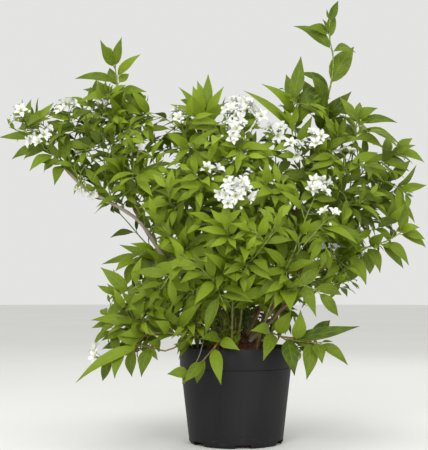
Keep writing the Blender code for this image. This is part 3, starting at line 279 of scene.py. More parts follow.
# The green stems. Those whose parent is another green stem grow as one with it.
STEMS = (
    # Left side
    Stem("left_leader", "left_cane", 1, ((-198, 2, 560), (-200, 0, 584), (-203, -2, 607), (-206, -5, 631),
         (-210, -8, 652)), 1.9, 0, leaves=(Leaf(1.0, (-229, -20, 669), 10), Leaf(1.0, (-195, -5, 680), 10, 3),
         Leaf(0.72, (-162, -15, 656), 15, 7), Leaf(0.66, (-275, -12, 614), 15, 16),
         Leaf(0.5, (-268, -35, 569), 17, 12), Leaf(0.5, (-150, -30, 588), 15, 8),
         Leaf(0.4, (-158, 30, 590), 17, 9), Leaf(0.36, (-266, 25, 603), 16, 10),
         Leaf(0.22, (-160, -32, 549), 19, 8), Leaf(0.08, (-165, 34, 535), 20, 9))),
    Stem("left_leader_front", "left_leader", 0.05, ((-206, -12, 540), (-221, -28, 550)), 1.1, 1, 34,
         head=Head("flowers_left_leader", 2, 1, 13)),
    Stem("left_fan", "low_left_cane", 1, ((-310, -48, 487), (-326, -50, 507), (-341, -52, 520),
         (-348, -55, 533)), 1.7, 0, leaves=(Leaf(0.86, (-306, -36, 569), 13),
         Leaf(0.88, (-312, -78, 551), 14, 7), Leaf(0.75, (-374, -14, 566), 12),
         Leaf(0.9, (-346, -25, 577), 11, 4), Leaf(0.7, (-392, -62, 506), 14, 4),
         Leaf(0.55, (-374, -44, 472), 15, 9), Leaf(0.42, (-360, -14, 474), 15, 9),
         Leaf(0.3, (-338, -78, 448), 16, 8), Leaf(0.2, (-324, -18, 452), 17, 8),
         Leaf(0.12, (-296, -84, 424), 17, 8), Leaf(0.6, (-290, -8, 530), 19, 9)),
         head=Head("flowers_far_left", 3, 2, 16, (-0.5, -0.6, 0.4))),
    Stem("left_fan_front", "left_fan", 0.3, ((-317, -58, 487), (-320, -66, 496)), 1.0, 0,
         head=Head("flowers_left_fan", 5, 1, 15, (0.1, -1.0, 0.2))),
    Stem("left_rise", "low_left_cane", 0.78, ((-216, -44, 440), (-220, -52, 480), (-220, -60, 512)), 1.5, 3,
         52),
    Stem("left_rise_flowering", "left_rise", 0.35, ((-240, -50, 475), (-262, -48, 515), (-277, -46, 540)),
         1.2, 2, 52, head=Head("flowers_upper_left", 5, 2, 17)),
    Stem("left_hang", "low_left_cane", 0.93, ((-266, -54, 448), (-268, -60, 465)), 1.2, 1, 40,
         head=Head("flowers_left_low", 1, 2, 10)),
    Stem("left_hang_down", "left_hang", 0.3, ((-254, -58, 442), (-250, -62, 428)), 0.9, 1, 46,
         head=Head("flowers_left_hanging", 2, 1, 12, (0.1, -0.6, -0.6))),
    Stem("left_middle", "low_left_cane", 0.36, ((-138, -42, 320), (-150, -50, 318), (-166, -56, 303)), 1.3, 0,
         leaves=(Leaf(0.42, (-195, -34, 330), 13), Leaf(0.85, (-224, -38, 297), 11),
         Leaf(0.95, (-196, -86, 285), 16), Leaf(0.55, (-172, -88, 330), 15), Leaf(0.2, (-146, -90, 322), 17),
         Leaf(1.0, (-182, -52, 261), 17), Leaf(0.3, (-150, -70, 268), 18))),
    Stem("left_inner", "low_left_cane", 0.6, ((-174, -46, 410), (-171, -56, 445), (-169, -60, 464)), 1.4, 3,
         60, head=Head("flowers_left_middle", 1, 3, 12)),
    # Lower left
    Stem("lower_left_cane", "soil", 0, ((-20, -27, 128), (-20, -27, 160), (-30, -44, 176), (-46, -68, 184),
         (-66, -98, 180), (-90, -120, 170)), 2.2, 1, 48, 0.6),
    Stem("lower_left_rise", "lower_left_cane", 0.8, ((-100, -116, 186), (-118, -122, 188), (-140, -125, 190),
         (-161, -125, 208), (-170, -125, 224), (-186, -122, 246)), 1.4, 0,
         leaves=(Leaf(0.62, (-232, -110, 207), 14, 12), Leaf(0.66, (-146, -132, 258), 16),
         Leaf(0.5, (-184, -144, 184), 15), Leaf(0.98, (-222, -110, 262), 9, 5),
         Leaf(0.98, (-204, -134, 265), 8, 3), Leaf(1.0, (-196, -116, 288), 9, 4),
         Leaf(0.3, (-128, -160, 208), 17), Leaf(0.35, (-140, -92, 222), 17),
         Leaf(0.44, (-180, -90, 214), 14))),
    Stem("lower_left_low", "lower_left_cane", 1, ((-112, -130, 160), (-144, -138, 168), (-170, -142, 165),
         (-192, -142, 160), (-206, -141, 154)), 1.4, 0, leaves=(Leaf(0.52, (-247, -170, 114), 15, 12),
         Leaf(0.75, (-188, -168, 120), 15), Leaf(0.4, (-148, -160, 122), 17),
         Leaf(0.9, (-212, -118, 112), 14), Leaf(0.55, (-196, -124, 196), 15, 8),
         Leaf(0.3, (-138, -172, 176), 17), Leaf(0.6, (-166, -112, 118), 15)),
         head=Head("flowers_lower_left", 2, 1, 12, (-0.6, -0.7, 0.2))),
    # Middle
    Stem("middle_top", "middle_cane", 1, ((-50, -4, 530), (-50, -9, 556)), 1.5, 1, 52, 0.1,
         leaves=(Leaf(0.98, (-73, -18, 601), 17, 4), Leaf(1.0, (-47, -8, 624), 15, 3),
         Leaf(0.7, (-20, -30, 598), 14), Leaf(0.75, (-111, -30, 567), 14, 8),
         Leaf(0.6, (-12, -40, 570), 16, 8))),
    Stem("middle_left", "middle_cane", 0.72, ((-72, -10, 460), (-84, -22, 505), (-92, -28, 535)), 1.3, 3, 62,
         head=Head("flowers_middle_left", 3, 1, 14)),
    Stem("middle_front", "middle_cane", 0.5, ((-70, -28, 372), (-60, -62, 410), (-42, -88, 438)), 1.3, 3, 64,
         head=Head("flowers_middle_front", 2, 1, 12, (-0.2, -1, 0.2))),
    Stem("middle_low", "middle_cane", 0.3, ((-64, -16, 285), (-88, -60, 312), (-106, -100, 338)), 1.3, 4, 66),
    # Central stem with the largest head of flowers
    Stem("central_cane", "soil", 0, ((2, -30, 128), (2, -30, 160), (8, -30, 215), (12, -34, 305),
         (11, -40, 405), (8, -46, 488), (6, -54, 532)), 2.6, 5, 62, 0.3,
         head=Head("flowers_crown", 10, 3, 23, (0.1, -0.8, 0.5))),
    Stem("central_right", "central_cane", 0.84, ((22, -48, 510), (32, -50, 530)), 1.1, 1, 50,
         head=Head("flowers_crown_right", 2, 1, 11)),
    Stem("central_left", "central_cane", 0.8, ((-4, -62, 492), (-6, -74, 504)), 1.1, 1, 46,
         head=Head("flowers_crown_left", 4, 1, 18, (-0.2, -1, 0.2))),
    Stem("central_low", "central_cane", 0.45, ((34, -52, 360), (56, -66, 392), (70, -80, 424)), 1.3, 4, 66),
    # Front stem with the second largest head
    Stem("front_cane", "soil", 0, ((-8, -48, 128), (-8, -48, 160), (-7, -68, 240), (-6, -112, 330),
         (-5, -138, 392)), 2.4, 4, 66, 0.35, head=Head("flowers_front", 9, 2, 24, (0, -1, 0.35))),
    Stem("front_left", "front_cane", 0.45, ((-34, -108, 266), (-62, -142, 292), (-84, -166, 306)), 1.3, 4,
         66),
    Stem("front_right", "front_cane", 0.6, ((22, -128, 302), (44, -158, 330), (58, -178, 346)), 1.3, 4, 64),
    # Right side
    Stem("right_leader", "right_leader_cane", 1, ((146, 3, 530), (152, 0, 558), (162, -2, 600),
         (167, -4, 631), (167, -5, 657), (162, -6, 683), (161, -7, 700), (162, -8, 717)), 2.0, 0,
         leaves=(Leaf(0.96, (177, -5, 752), 12, 3), Leaf(0.9, (147, -27, 714), 8, 2),
         Leaf(0.88, (118, -20, 700), 16, 7), Leaf(0.76, (100, 5, 710), 21, 10),
         Leaf(0.74, (203, -30, 655), 16, 14), Leaf(0.48, (208, 26, 679), 29, 8),
         Leaf(0.44, (104, -25, 622), 15, 12), Leaf(0.22, (113, 20, 622), 26, 7),
         Leaf(0.2, (196, -24, 590), 22, 9), Leaf(0.04, (190, 34, 560), 22, 9),
         Leaf(0.04, (104, -10, 530), 20, 9))),
    Stem("right_upper", "right_leader_cane", 0.7, ((109, -12, 458), (102, -20, 508), (97, -25, 553),
         (94, -28, 570)), 1.5, 2, 62, 0.15, leaves=(Leaf(1.0, (111, -20, 652), 20, 5),
         Leaf(0.88, (41, -64, 595), 16, 10), Leaf(0.72, (13, -22, 592), 13, 12),
         Leaf(0.8, (136, -52, 562), 18, 8))),
    Stem("right_upper_front", "right_upper", 0.35, ((104, -38, 472), (99, -52, 482)), 1.0, 1, 50,
         head=Head("flowers_right_upper", 3, 1, 14, (0, -0.9, 0.4))),
    Stem("right_inner", "right_leader_cane", 0.52, ((74, 0, 400), (68, -20, 455), (66, -34, 506)), 1.4, 4, 62,
         head=Head("flowers_middle_right", 3, 2, 16, (0.1, -0.8, 0.5))),
    Stem("right_flowering", "right_cane", 0.6, ((160, -46, 420), (144, -54, 462), (135, -58, 488)), 1.3, 3,
         62, head=Head("flowers_right", 4, 2, 17, (0, -0.9, 0.4))),
    Stem("right_flowering_side", "right_flowering", 0.4, ((174, -64, 440), (178, -66, 468)), 1.0, 1, 46,
         head=Head("flowers_right_side", 2, 1, 11)),
    Stem("right_top", "right_cane", 1, ((199, -28, 500), (204, -30, 540)), 1.4, 1, 50, 0.2,
         leaves=(Leaf(0.98, (173, -42, 578), 15, 4), Leaf(0.96, (237, -45, 558), 16, 9),
         Leaf(0.9, (274, -20, 537), 14, 10), Leaf(0.85, (215, 10, 578), 13),
         Leaf(0.6, (243, -58, 488), 18, 12), Leaf(0.5, (186, 30, 545), 17, 9))),
    Stem("right_outer", "right_cane", 0.86, ((222, -24, 462), (244, -20, 474), (268, -16, 488)), 1.4, 0,
         leaves=(Leaf(0.98, (299, -20, 511), 14, 5), Leaf(0.9, (300, -42, 496), 13, 6),
         Leaf(0.97, (322, -5, 471), 15, 8), Leaf(0.75, (291, -32, 453), 15, 8),
         Leaf(0.8, (262, 14, 520), 15, 6), Leaf(0.45, (252, -62, 440), 17, 9),
         Leaf(0.4, (256, 22, 452), 17, 9), Leaf(0.15, (216, -74, 428), 18, 9))),
    Stem("right_side", "right_cane", 0.74, ((216, -16, 404), (244, -12, 412), (272, -8, 424)), 1.4, 0,
         leaves=(Leaf(1.0, (324, -10, 432), 14, 6), Leaf(0.92, (295, -40, 416), 14, 6),
         Leaf(0.6, (272, -44, 374), 16, 8), Leaf(0.85, (307, 10, 369), 15, 8),
         Leaf(0.9, (292, 24, 408), 14, 8), Leaf(0.45, (248, 34, 398), 17, 8),
         Leaf(0.3, (236, -54, 404), 18, 9), Leaf(0.3, (226, 6, 358), 18, 9))),
    Stem("right_arch", "low_right_cane", 1, ((180, -62, 312), (206, -61, 322), (232, -57, 330),
         (254, -53, 338), (272, -50, 350)), 1.6, 0, leaves=(Leaf(0.98, (283, -48, 394), 15, 6),
         Leaf(1.0, (297, -74, 357), 14, 6), Leaf(1.0, (312, -48, 338), 14, 7),
         Leaf(0.94, (318, -26, 325), 14, 8), Leaf(0.72, (279, -78, 294), 16, 10),
         Leaf(0.66, (278, -36, 290), 16, 9), Leaf(0.45, (231, -84, 282), 17, 9),
         Leaf(0.4, (222, -34, 280), 17, 9), Leaf(0.18, (184, -98, 294), 18, 9),
         Leaf(0.2, (210, -74, 262), 18, 9), Leaf(0.5, (240, -90, 348), 16, 8),
         Leaf(0.3, (206, -20, 358), 16, 8))),
    Stem("right_arch_front", "right_arch", 0.05, ((158, -82, 306), (152, -92, 310)), 1.0, 1, 48,
         head=Head("flowers_right_low", 2, 1, 12, (0, -1, 0.3))),
    # Front right
    Stem("front_right_cane", "soil", 0, ((34, -34, 128), (34, -34, 160), (58, -76, 240), (92, -108, 320),
         (110, -104, 370), (126, -96, 406)), 2.4, 4, 64, 0.4,
         head=Head("flowers_front_right", 5, 2, 18, (0.1, -1, 0.3))),
    Stem("front_right_low", "front_right_cane", 0.42, ((84, -124, 256), (104, -140, 262), (124, -150, 252)),
         1.3, 0, leaves=(Leaf(0.9, (167, -100, 246), 16, 8), Leaf(1.0, (157, -134, 214), 16, 8),
         Leaf(0.75, (118, -176, 214), 17, 9), Leaf(0.4, (80, -166, 222), 22, 9),
         Leaf(0.3, (56, -150, 226), 18, 9), Leaf(0.6, (132, -120, 290), 16, 8),
         Leaf(0.5, (100, -178, 262), 18, 8))),
    Stem("front_right_side", "front_right_cane", 0.62, ((118, -122, 340), (138, -124, 362)), 1.2, 2, 56,
         head=Head("flowers_front_right_side", 2, 1, 12, (0.2, -1, 0.2))),
    # Low shoots that lean over the rim
    Stem("lower_right_cane", "soil", 0, ((32, -10, 128), (32, -10, 160), (40, -36, 178), (50, -66, 184),
         (66, -94, 180), (88, -112, 174), (112, -120, 172), (130, -122, 172)), 2.0, 0,
         leaves=(Leaf(0.74, (192, -125, 198), 17, 9), Leaf(1.0, (171, -136, 138), 15, 9),
         Leaf(0.95, (130, -146, 141), 17, 7), Leaf(0.9, (106, -142, 116), 20, 8),
         Leaf(0.72, (88, -138, 122), 23, 9), Leaf(0.55, (40, -124, 144), 19, 10),
         Leaf(0.5, (20, -112, 190), 17, 9), Leaf(0.6, (86, -104, 222), 20, 8),
         Leaf(0.8, (98, -134, 224), 19, 8), Leaf(0.9, (150, -84, 206), 17, 8))),
    Stem("lower_front_cane", "soil", 0, ((-30, -42, 128), (-30, -42, 160), (-28, -66, 176), (-28, -92, 174),
         (-40, -106, 160), (-58, -118, 140), (-76, -126, 120)), 1.8, 0,
         leaves=(Leaf(0.62, (-26, -140, 108), 17, 8), Leaf(0.5, (4, -118, 160), 16, 9),
         Leaf(0.95, (-110, -130, 124), 15, 7), Leaf(0.8, (-84, -150, 112), 16, 7),
         Leaf(0.75, (-64, -96, 106), 14, 6), Leaf(0.45, (-60, -128, 178), 17, 8))),
    # Back of the shrub
    Stem("back_left_cane", "soil", 0, ((-30, 22, 128), (-30, 22, 160), (-62, 60, 240), (-112, 118, 330),
         (-148, 164, 408), (-164, 190, 470)), 2.6, 4, 68, 0.35),
    Stem("back_left_side", "back_left_cane", 0.5, ((-150, 96, 330), (-196, 104, 380), (-232, 100, 418)), 1.5,
         3, 66),
    Stem("back_left_low", "back_left_cane", 0.36, ((-96, 124, 250), (-140, 160, 268), (-180, 180, 262)), 1.5,
         3, 66),
    Stem("back_cane", "soil", 0, ((4, 34, 128), (4, 34, 160), (2, 78, 260), (-6, 130, 370), (-10, 158, 460),
         (-12, 170, 540)), 2.8, 5, 64, 0.35),
    Stem("back_side_left", "back_cane", 0.55, ((-44, 160, 402), (-78, 196, 436), (-100, 220, 452)), 1.5, 3,
         66),
    Stem("back_side_right", "back_cane", 0.42, ((34, 142, 330), (66, 196, 352), (84, 236, 350)), 1.5, 3, 66),
    Stem("back_low", "back_cane", 0.28, ((-14, 128, 240), (-30, 186, 250), (-44, 232, 232)), 1.5, 3, 66),
    Stem("back_right_cane", "soil", 0, ((32, 20, 128), (32, 20, 160), (66, 58, 250), (110, 108, 340),
         (142, 142, 430), (156, 160, 510)), 2.6, 4, 68, 0.35),
    Stem("back_right_side", "back_right_cane", 0.5, ((156, 88, 340), (204, 84, 384), (240, 76, 410)), 1.5, 3,
         66),
    Stem("back_right_low", "back_right_cane", 0.34, ((110, 110, 256), (156, 134, 270), (196, 142, 258)), 1.5,
         3, 66),
)
CANE_NAMES = {cane.name for cane in CANES}


@dataclass
class Solid:
    """A closed faceted body in millimetres, for the tests of clearance."""

    points: list[Vector]
    faces: list[tuple[int, ...]]

    def box(self) -> Box:
        """The lowest and the highest corner."""
        columns = list(zip(*self.points))
        return [min(column) for column in columns], [max(column) for column in columns]

    def tree(self) -> BVHTree:
        """The search tree of the surface."""
        return BVHTree.FromPolygons(self.points, self.faces)


def eased(before: Vector, start: Vector, stop: Vector, after: Vector, t: float) -> Vector:
    """The point at t, from 0 to 1, of the smooth stretch from start to stop between two others."""
    square, cube = 2 * before - 5 * start + 4 * stop - after, 3 * start - before - 3 * stop + after
    return 0.5 * (2 * start + (stop - before) * t + square * t ** 2 + cube * t ** 3)


def stepped(course: list[Vector]) -> list[Vector]:
    """Adds points to a course along a smooth curve through it, about STEP apart.

    Args:
        course: The points that the curve runs through.

    Returns:
        The course with its added points.
    """
    ends = [course[0], *course, course[-1]]
    curve = []
    for before, start, stop, after in zip(ends, ends[1:], ends[2:], ends[3:]):
        count = max(1, round((stop - start).length / STEP))
        curve += [eased(before, start, stop, after, n / count) for n in range(count)]
    return curve + [course[-1]]


def square_to(direction: Vector) -> tuple[Vector, Vector]:
    """Two directions square to a third and right-handed about it: a level one, and one that rises."""
    level = (UP if abs(direction.z) < 0.95 else FRONT).cross(direction).normalized()
    return level, direction.cross(level)


def spread_at(angle: float, across: Vector, other: Vector) -> Vector:
    """The direction at an angle from one direction towards another that is square to it."""
    return cos(angle) * across + sin(angle) * other


def outward(point: Vector) -> Vector:
    """The level direction from the pot's axis to a point."""
    return Vector((point.x, point.y, 0)).normalized()


def turned_along(points: list[Vector], across: Vector) -> tuple[list[Vector], list[Vector]]:
    """Untwisted sections along a course.

    Args:
        points: The course.
        across: A direction near the one across its start.

    Returns:
        The directions ahead and across at each point.
    """
    heads, acrosses = [], []
    for before, after in zip(points[:1] + points, points[1:] + points[-1:]):
        heads.append((after - before).normalized())
        across = (across - heads[-1] * across.dot(heads[-1])).normalized()
        acrosses.append(across)
    return heads, acrosses


@dataclass
class Line:
    """A course of straight stretches with untwisted sections, and a smooth curve through it.

    The smooth curve starts at the anchor's distance from the course.
    """

    points: list[Vector]
    anchor: Vector = field(default_factory=Vector)

    def __post_init__(self) -> None:
        """Measures the course and turns a section along it."""
        first, second = self.points[:2]
        steps = [(stop - start).length for start, stop in zip(self.points, self.points[1:])]
        self.marks = list(itertools.accumulate(steps, initial=0.0))
        self.length = self.marks[-1]
        level, high = square_to((second - first).normalized())
        self.heads, self.acrosses = turned_along(self.points, level + high)

    def place(self, share: float) -> tuple[int, float]:
        """Finds a share of the length.

        Args:
            share: How far along the course, from 0 to 1.

        Returns:
            The number of the stretch, and how far along it the share lies.
        """
        reach = min(max(share, 0.0), 1.0) * self.length
        n = bisect_left(self.marks, reach, 1, len(self.marks) - 1)
        return n, (reach - self.marks[n - 1]) / (self.marks[n] - self.marks[n - 1])

    def at(self, share: float) -> tuple[Vector, Vector]:
        """The point and the direction of the straight course at a share of its length."""
        (n, part), points = self.place(share), self.points
        return points[n - 1].lerp(points[n], part), (points[n] - points[n - 1]).normalized()

    def side(self, share: float, wanted: Vector) -> Vector:
        """The direction square to a four-sided stem's flat that is nearest to the wanted one.

        Args:
            share: How far along the course, from 0 to 1.
            wanted: The direction to come near to.

        Returns:
            The flat's own direction.
        """
        n, part = self.place(share)
        ahead = (self.points[n] - self.points[n - 1]).normalized()
        across = self.acrosses[n - 1].lerp(self.acrosses[n], part)
        across = (across - ahead * across.dot(ahead)).normalized()
        other = ahead.cross(across)
        flats = [across + other, across - other, other - across, -across - other]
        return max(flats, key=lambda flat: flat.dot(wanted)).normalized()

    def smooth(self, share: float) -> Vector:
        """The point of the smooth curve.

        Args:
            share: How far along the course, from 0 to 1.

        Returns:
            The point on the curve.
        """
        n, part = self.place(share)
        last = len(self.points) - 1
        spots = [self.points[min(max(k, 0), last)] + (self.anchor if k <= 0 else Vector())
                 for k in range(n - 2, n + 2)]
        return eased(*spots, part)

    def drift(self, share: float) -> Vector:
        """How far the smooth curve lies from the straight course at a share of the length."""
        return self.smooth(share) - self.at(share)[0]

    def past(self, skip: float) -> "Line":
        """The part of the course past a length from its start."""
        rest = [point for point, mark in zip(self.points, self.marks) if mark > skip + 1]
        return Line([self.at(skip / self.length)[0], *rest])


class Space:
    """What has been placed so far, to keep new stems, leaves and flowers clear of it."""

    CELL = 40.0

    def __init__(self) -> None:
        """Starts with nothing placed."""
        self.placed: list[tuple[list[float], list[float], BVHTree, str]] = []
        self.cells: dict[tuple[int, ...], list[int]] = {}

    def cells_of(self, low: list[float], high: list[float]) -> itertools.product:
        """The numbers along X, Y and Z of the cells that a box reaches into."""
        spans = [range(int(a // self.CELL), int(b // self.CELL) + 1) for a, b in zip(low, high)]
        return itertools.product(*spans)

    def add(self, solid: Solid, owner: str) -> None:
        """Places a solid.

        Args:
            solid: The solid to place.
            owner: The piece that it belongs to.
        """
        low, high = solid.box()
        for cell in self.cells_of(low, high):
            self.cells.setdefault(cell, []).append(len(self.placed))
        self.placed.append((low, high, solid.tree(), owner))

    def is_free(self, solid: Solid, beside: str | None = None) -> bool:
        """Whether a solid meets nothing placed so far.

        Args:
            solid: The solid to test.
            beside: An owner whose solids are passed over.

        Returns:
            True where nothing is met.
        """
        low, high = solid.box()
        tree = None
        for n in {n for cell in self.cells_of(low, high) for n in self.cells.get(cell, ())}:
            other_low, other_high, other, owner = self.placed[n]
            apart = any(low[k] > other_high[k] or high[k] < other_low[k] for k in range(3))
            if owner == beside or apart:
                continue
            tree = tree or solid.tree()
            if tree.overlap(other):
                return False
        return True


def ring(centre: Vector, ahead: Vector, across: Vector, radius: float, sides: int,
         turn: float = 0.0) -> list[Vector]:
    """Points round a centre, counted the right-handed way about the direction ahead.

    Args:
        centre: The ring's centre.
        ahead: The direction that the ring is square to.
        across: The direction near which the first point lies.
        radius: The ring's radius.
        sides: The number of points.
        turn: The first point's angle from across, in radians.

    Returns:
        The points.
    """
    across = (across - ahead * across.dot(ahead)).normalized()
    angles = [turn + tau * k / sides for k in range(sides)]
    return [centre + radius * spread_at(angle, across, ahead.cross(across)) for angle in angles]


def lofted(rings: list[list[Vector]]) -> Solid:
    """A solid through rings of equal size, or of one point where it narrows to a tip.

    Args:
        rings: The rings, in order.

    Returns:
        The solid, its faces turned outwards and those at its start first.
    """
    sides = max(len(points) for points in rings)
    places, faces, count = [], [], 0
    for points in rings:
        places.append([count + k % len(points) for k in range(sides)])
        count += len(points)
    for lower, upper in zip(places, places[1:]):
        for k in range(sides):
            a, b, c, d = lower[k], lower[(k + 1) % sides], upper[(k + 1) % sides], upper[k]
            faces += [face for face in ((a, b, c), (a, c, d)) if len(set(face)) == 3]
    faces += [tuple(end) for end in (places[0][::-1], places[-1]) if len(set(end)) > 1]
    return Solid([point for points in rings for point in points], faces)


def bar(line: Line, radii: list[float], sides: int) -> Solid:
    """A solid bar along a line, with a radius for each of its points."""
    sections = zip(line.points, line.heads, line.acrosses, radii)
    return lofted([ring(*section, sides) for section in sections])


def revolved(profile: Section, sides: int) -> Solid:
    """A solid of revolution about Z, from the radii and heights of its profile."""
    return lofted([ring(Vector((0, 0, height)), UP, Vector((1, 0, 0)), radius, sides if radius else 1)
                   for radius, height in profile])


def soil_height(radius: float) -> float:
    """How high the soil stands at a radius: level at the wall, mounded round the crown."""
    return SOIL_LEVEL + SOIL_MOUND * exp(-(radius / MOUND_RADIUS) ** 2)


def searched(spots: list[Vector]) -> KDTree:
    """Makes the search tree of some points, which it knows by their numbers.

    Args:
        spots: The points.

    Returns:
        The tree.
    """
    tree = KDTree(len(spots))
    for n, spot in enumerate(spots):
        tree.insert(spot, n)
    tree.balance()
    return tree


@dataclass
class Blade:
    """One leaf: its root on the stem's middle, its reach to the tip, and how it arches and faces."""

    root: Vector
    reach: Vector
    width: float
    rise: float
    face: Vector
    form: Form
    drift: Vector = field(default_factory=Vector)
    bare: float = 1.0

    def solid(self, start: float = 0.0, swell: float = 0.0) -> Solid:
        """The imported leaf, for the tests of clearance.

        Args:
            start: The share of its length that is left out at the root.
            swell: How much it is thickened all round.

        Returns:
            The closed solid.
        """
        length = self.reach.length
        axis = self.reach / length
        side = axis.cross(self.face).normalized()
        up = side.cross(axis)
        rings = [[self.root + self.reach * start]]
        for share, breadth in self.form.value:
            share = start + (1 - start) * share
            half = 0.5 * self.width * breadth + swell
            middle = self.root + self.reach * share + up * (4 * self.rise * share * (1 - share))
            edge = up * (FOLD * half + swell)
            rings.append([middle - side * half + edge, middle + side * half + edge,
                          middle - up * (KEEL + KEEL_SHARE * half + swell)])
        return lofted([*rings, [self.root + self.reach * (1 + swell / length)]])


@dataclass
class Floret:
    """One open flower of five petals on its own stalk from the head's core."""

    foot: Vector
    centre: Vector
    facing: Vector
    radius: float
    turn: float

    def neck(self) -> Vector:
        """Where the stalk widens to the calyx."""
        return self.centre - NECK_SHARE * self.radius * self.facing

    def solid(self, swell: float = 0.0) -> Solid:
        """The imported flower.

        Args:
            swell: How much it is thickened all round.

        Returns:
            The closed solid.
        """
        across, other = square_to(self.facing)
        points = [self.foot]
        points += ring(self.neck(), self.facing, across, CALYX + swell, 3, self.turn + radians(45))
        for petal, (step, share, lift) in itertools.product(range(PETALS), PETAL):
            spread = spread_at(self.turn + radians(72 * petal + step), across, other)
            points.append(self.centre + (self.radius + swell) * (share * spread + lift * self.facing))
        points.append(self.centre + (0.08 * self.radius + swell) * self.facing)
        faces = [(0, 1 + (k + 1) % 3, 1 + k) for k in range(3)]
        for k in range(RIM):
            above, after = 4 + k, 4 + (k + 1) % RIM
            seat, next_seat = NECK_SEATS[k], NECK_SEATS[(k + 1) % RIM]
            faces += [(1 + seat, after, above), (above, after, 4 + RIM)]
            if seat != next_seat:
                faces.append((1 + seat, 1 + (seat + 1) % 3, after))
        return Solid(points, faces)


@dataclass
class Bud:
    """A closed bud that narrows to its foot."""

    foot: Vector
    tip: Vector

    def solid(self, swell: float = 0.0) -> Solid:
        """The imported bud.

        Args:
            swell: How much it is thickened all round.

        Returns:
            The closed solid.
        """
        ahead = (self.tip - self.foot).normalized()
        middle = self.tip - ahead * BUD_SHOULDER
        widest = ring(middle, ahead, square_to(ahead)[0], BUD_RADIUS + swell, 3)
        return lofted([[self.foot], widest, [self.tip + ahead * swell]])


@dataclass
class Rod:
    """A round stem of a piece: its line, which thins evenly from foot to tip, and its knots."""

    line: Line
    foot: float
    tip: float
    owner: str = ""
    knots: list[float] = field(default_factory=list)

    def radius(self, share: float) -> float:
        """Its radius at a share of its length."""
        return self.foot + (self.tip - self.foot) * share

    def solid(self, swell: float = 0.0, sides: int = STEM_SIDES) -> Solid:
        """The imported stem, thickened all round by a swell."""
        slope, line = self.tip - self.foot, self.line
        return bar(line, [self.foot + slope * mark / line.length + swell for mark in line.marks], sides)


@dataclass
class Shoot:
    """All that one piece of the plant is made of."""

    rods: list[Rod] = field(default_factory=list)
    blades: list[Blade] = field(default_factory=list)
    florets: list[Floret] = field(default_factory=list)
    buds: list[Bud] = field(default_factory=list)


class Seat(NamedTuple):
    """A place on a stem: its share of the stem's length, its point and the direction ahead."""

    stem: str
    share: float
    point: Vector
    ahead: Vector


def in_front_of_crown(point: Vector) -> bool:
    """Whether a point is where the bare stems and the soil show."""
    (left, right), (low, high) = BARE_ACROSS, BARE_HEIGHTS
    return left < point.x < right and point.y < BARE_BACK and low < point.z < high


def seen(point: Vector) -> Vector:
    """Where a point shows at the pot's axis, from the camera in front of it."""
    scale, way = -CAMERA.y / (point.y - CAMERA.y), point - CAMERA
    return Vector((CAMERA.x + way.x * scale, 0, CAMERA.z + way.z * scale))


def within_outline(point: Vector) -> bool:
    """Whether a point lies within the shrub's outline from the front.

    Args:
        point: The point.

    Returns:
        True where it does.
    """
    x, _, z = seen(point)
    ends = zip(CROWN_OUTLINE, CROWN_OUTLINE[1:] + CROWN_OUTLINE[:1])
    return sum((az > z) != (bz > z) and x < ax + (z - az) / (bz - az) * (bx - ax)
               for (ax, az), (bx, bz) in ends) % 2 == 1


def last_share(stem: Stem, line: Line) -> float:
    """How far along a stem its last leaves stand, clear of a head of flowers on its tip."""
    return 1 - (HEAD_GAP if stem.head else TIP_GAP) / line.length


def suits(seat: Seat, target: Vector) -> bool:
    """Whether a twig can leave a stem at a seat for a target: near, and at a fair angle.

    Args:
        seat: Where it leaves its stem.
        target: Where the twig is to end.

    Returns:
        True where it can.
    """
    way = target - seat.point
    if not TWIG_SHORTEST < way.length < TWIG_LONGEST:
        return False
    away = way.normalized().dot((outward(seat.point) + 0.6 * UP).normalized())
    return -0.2 < way.normalized().dot(seat.ahead) < 0.85 and away > -0.1


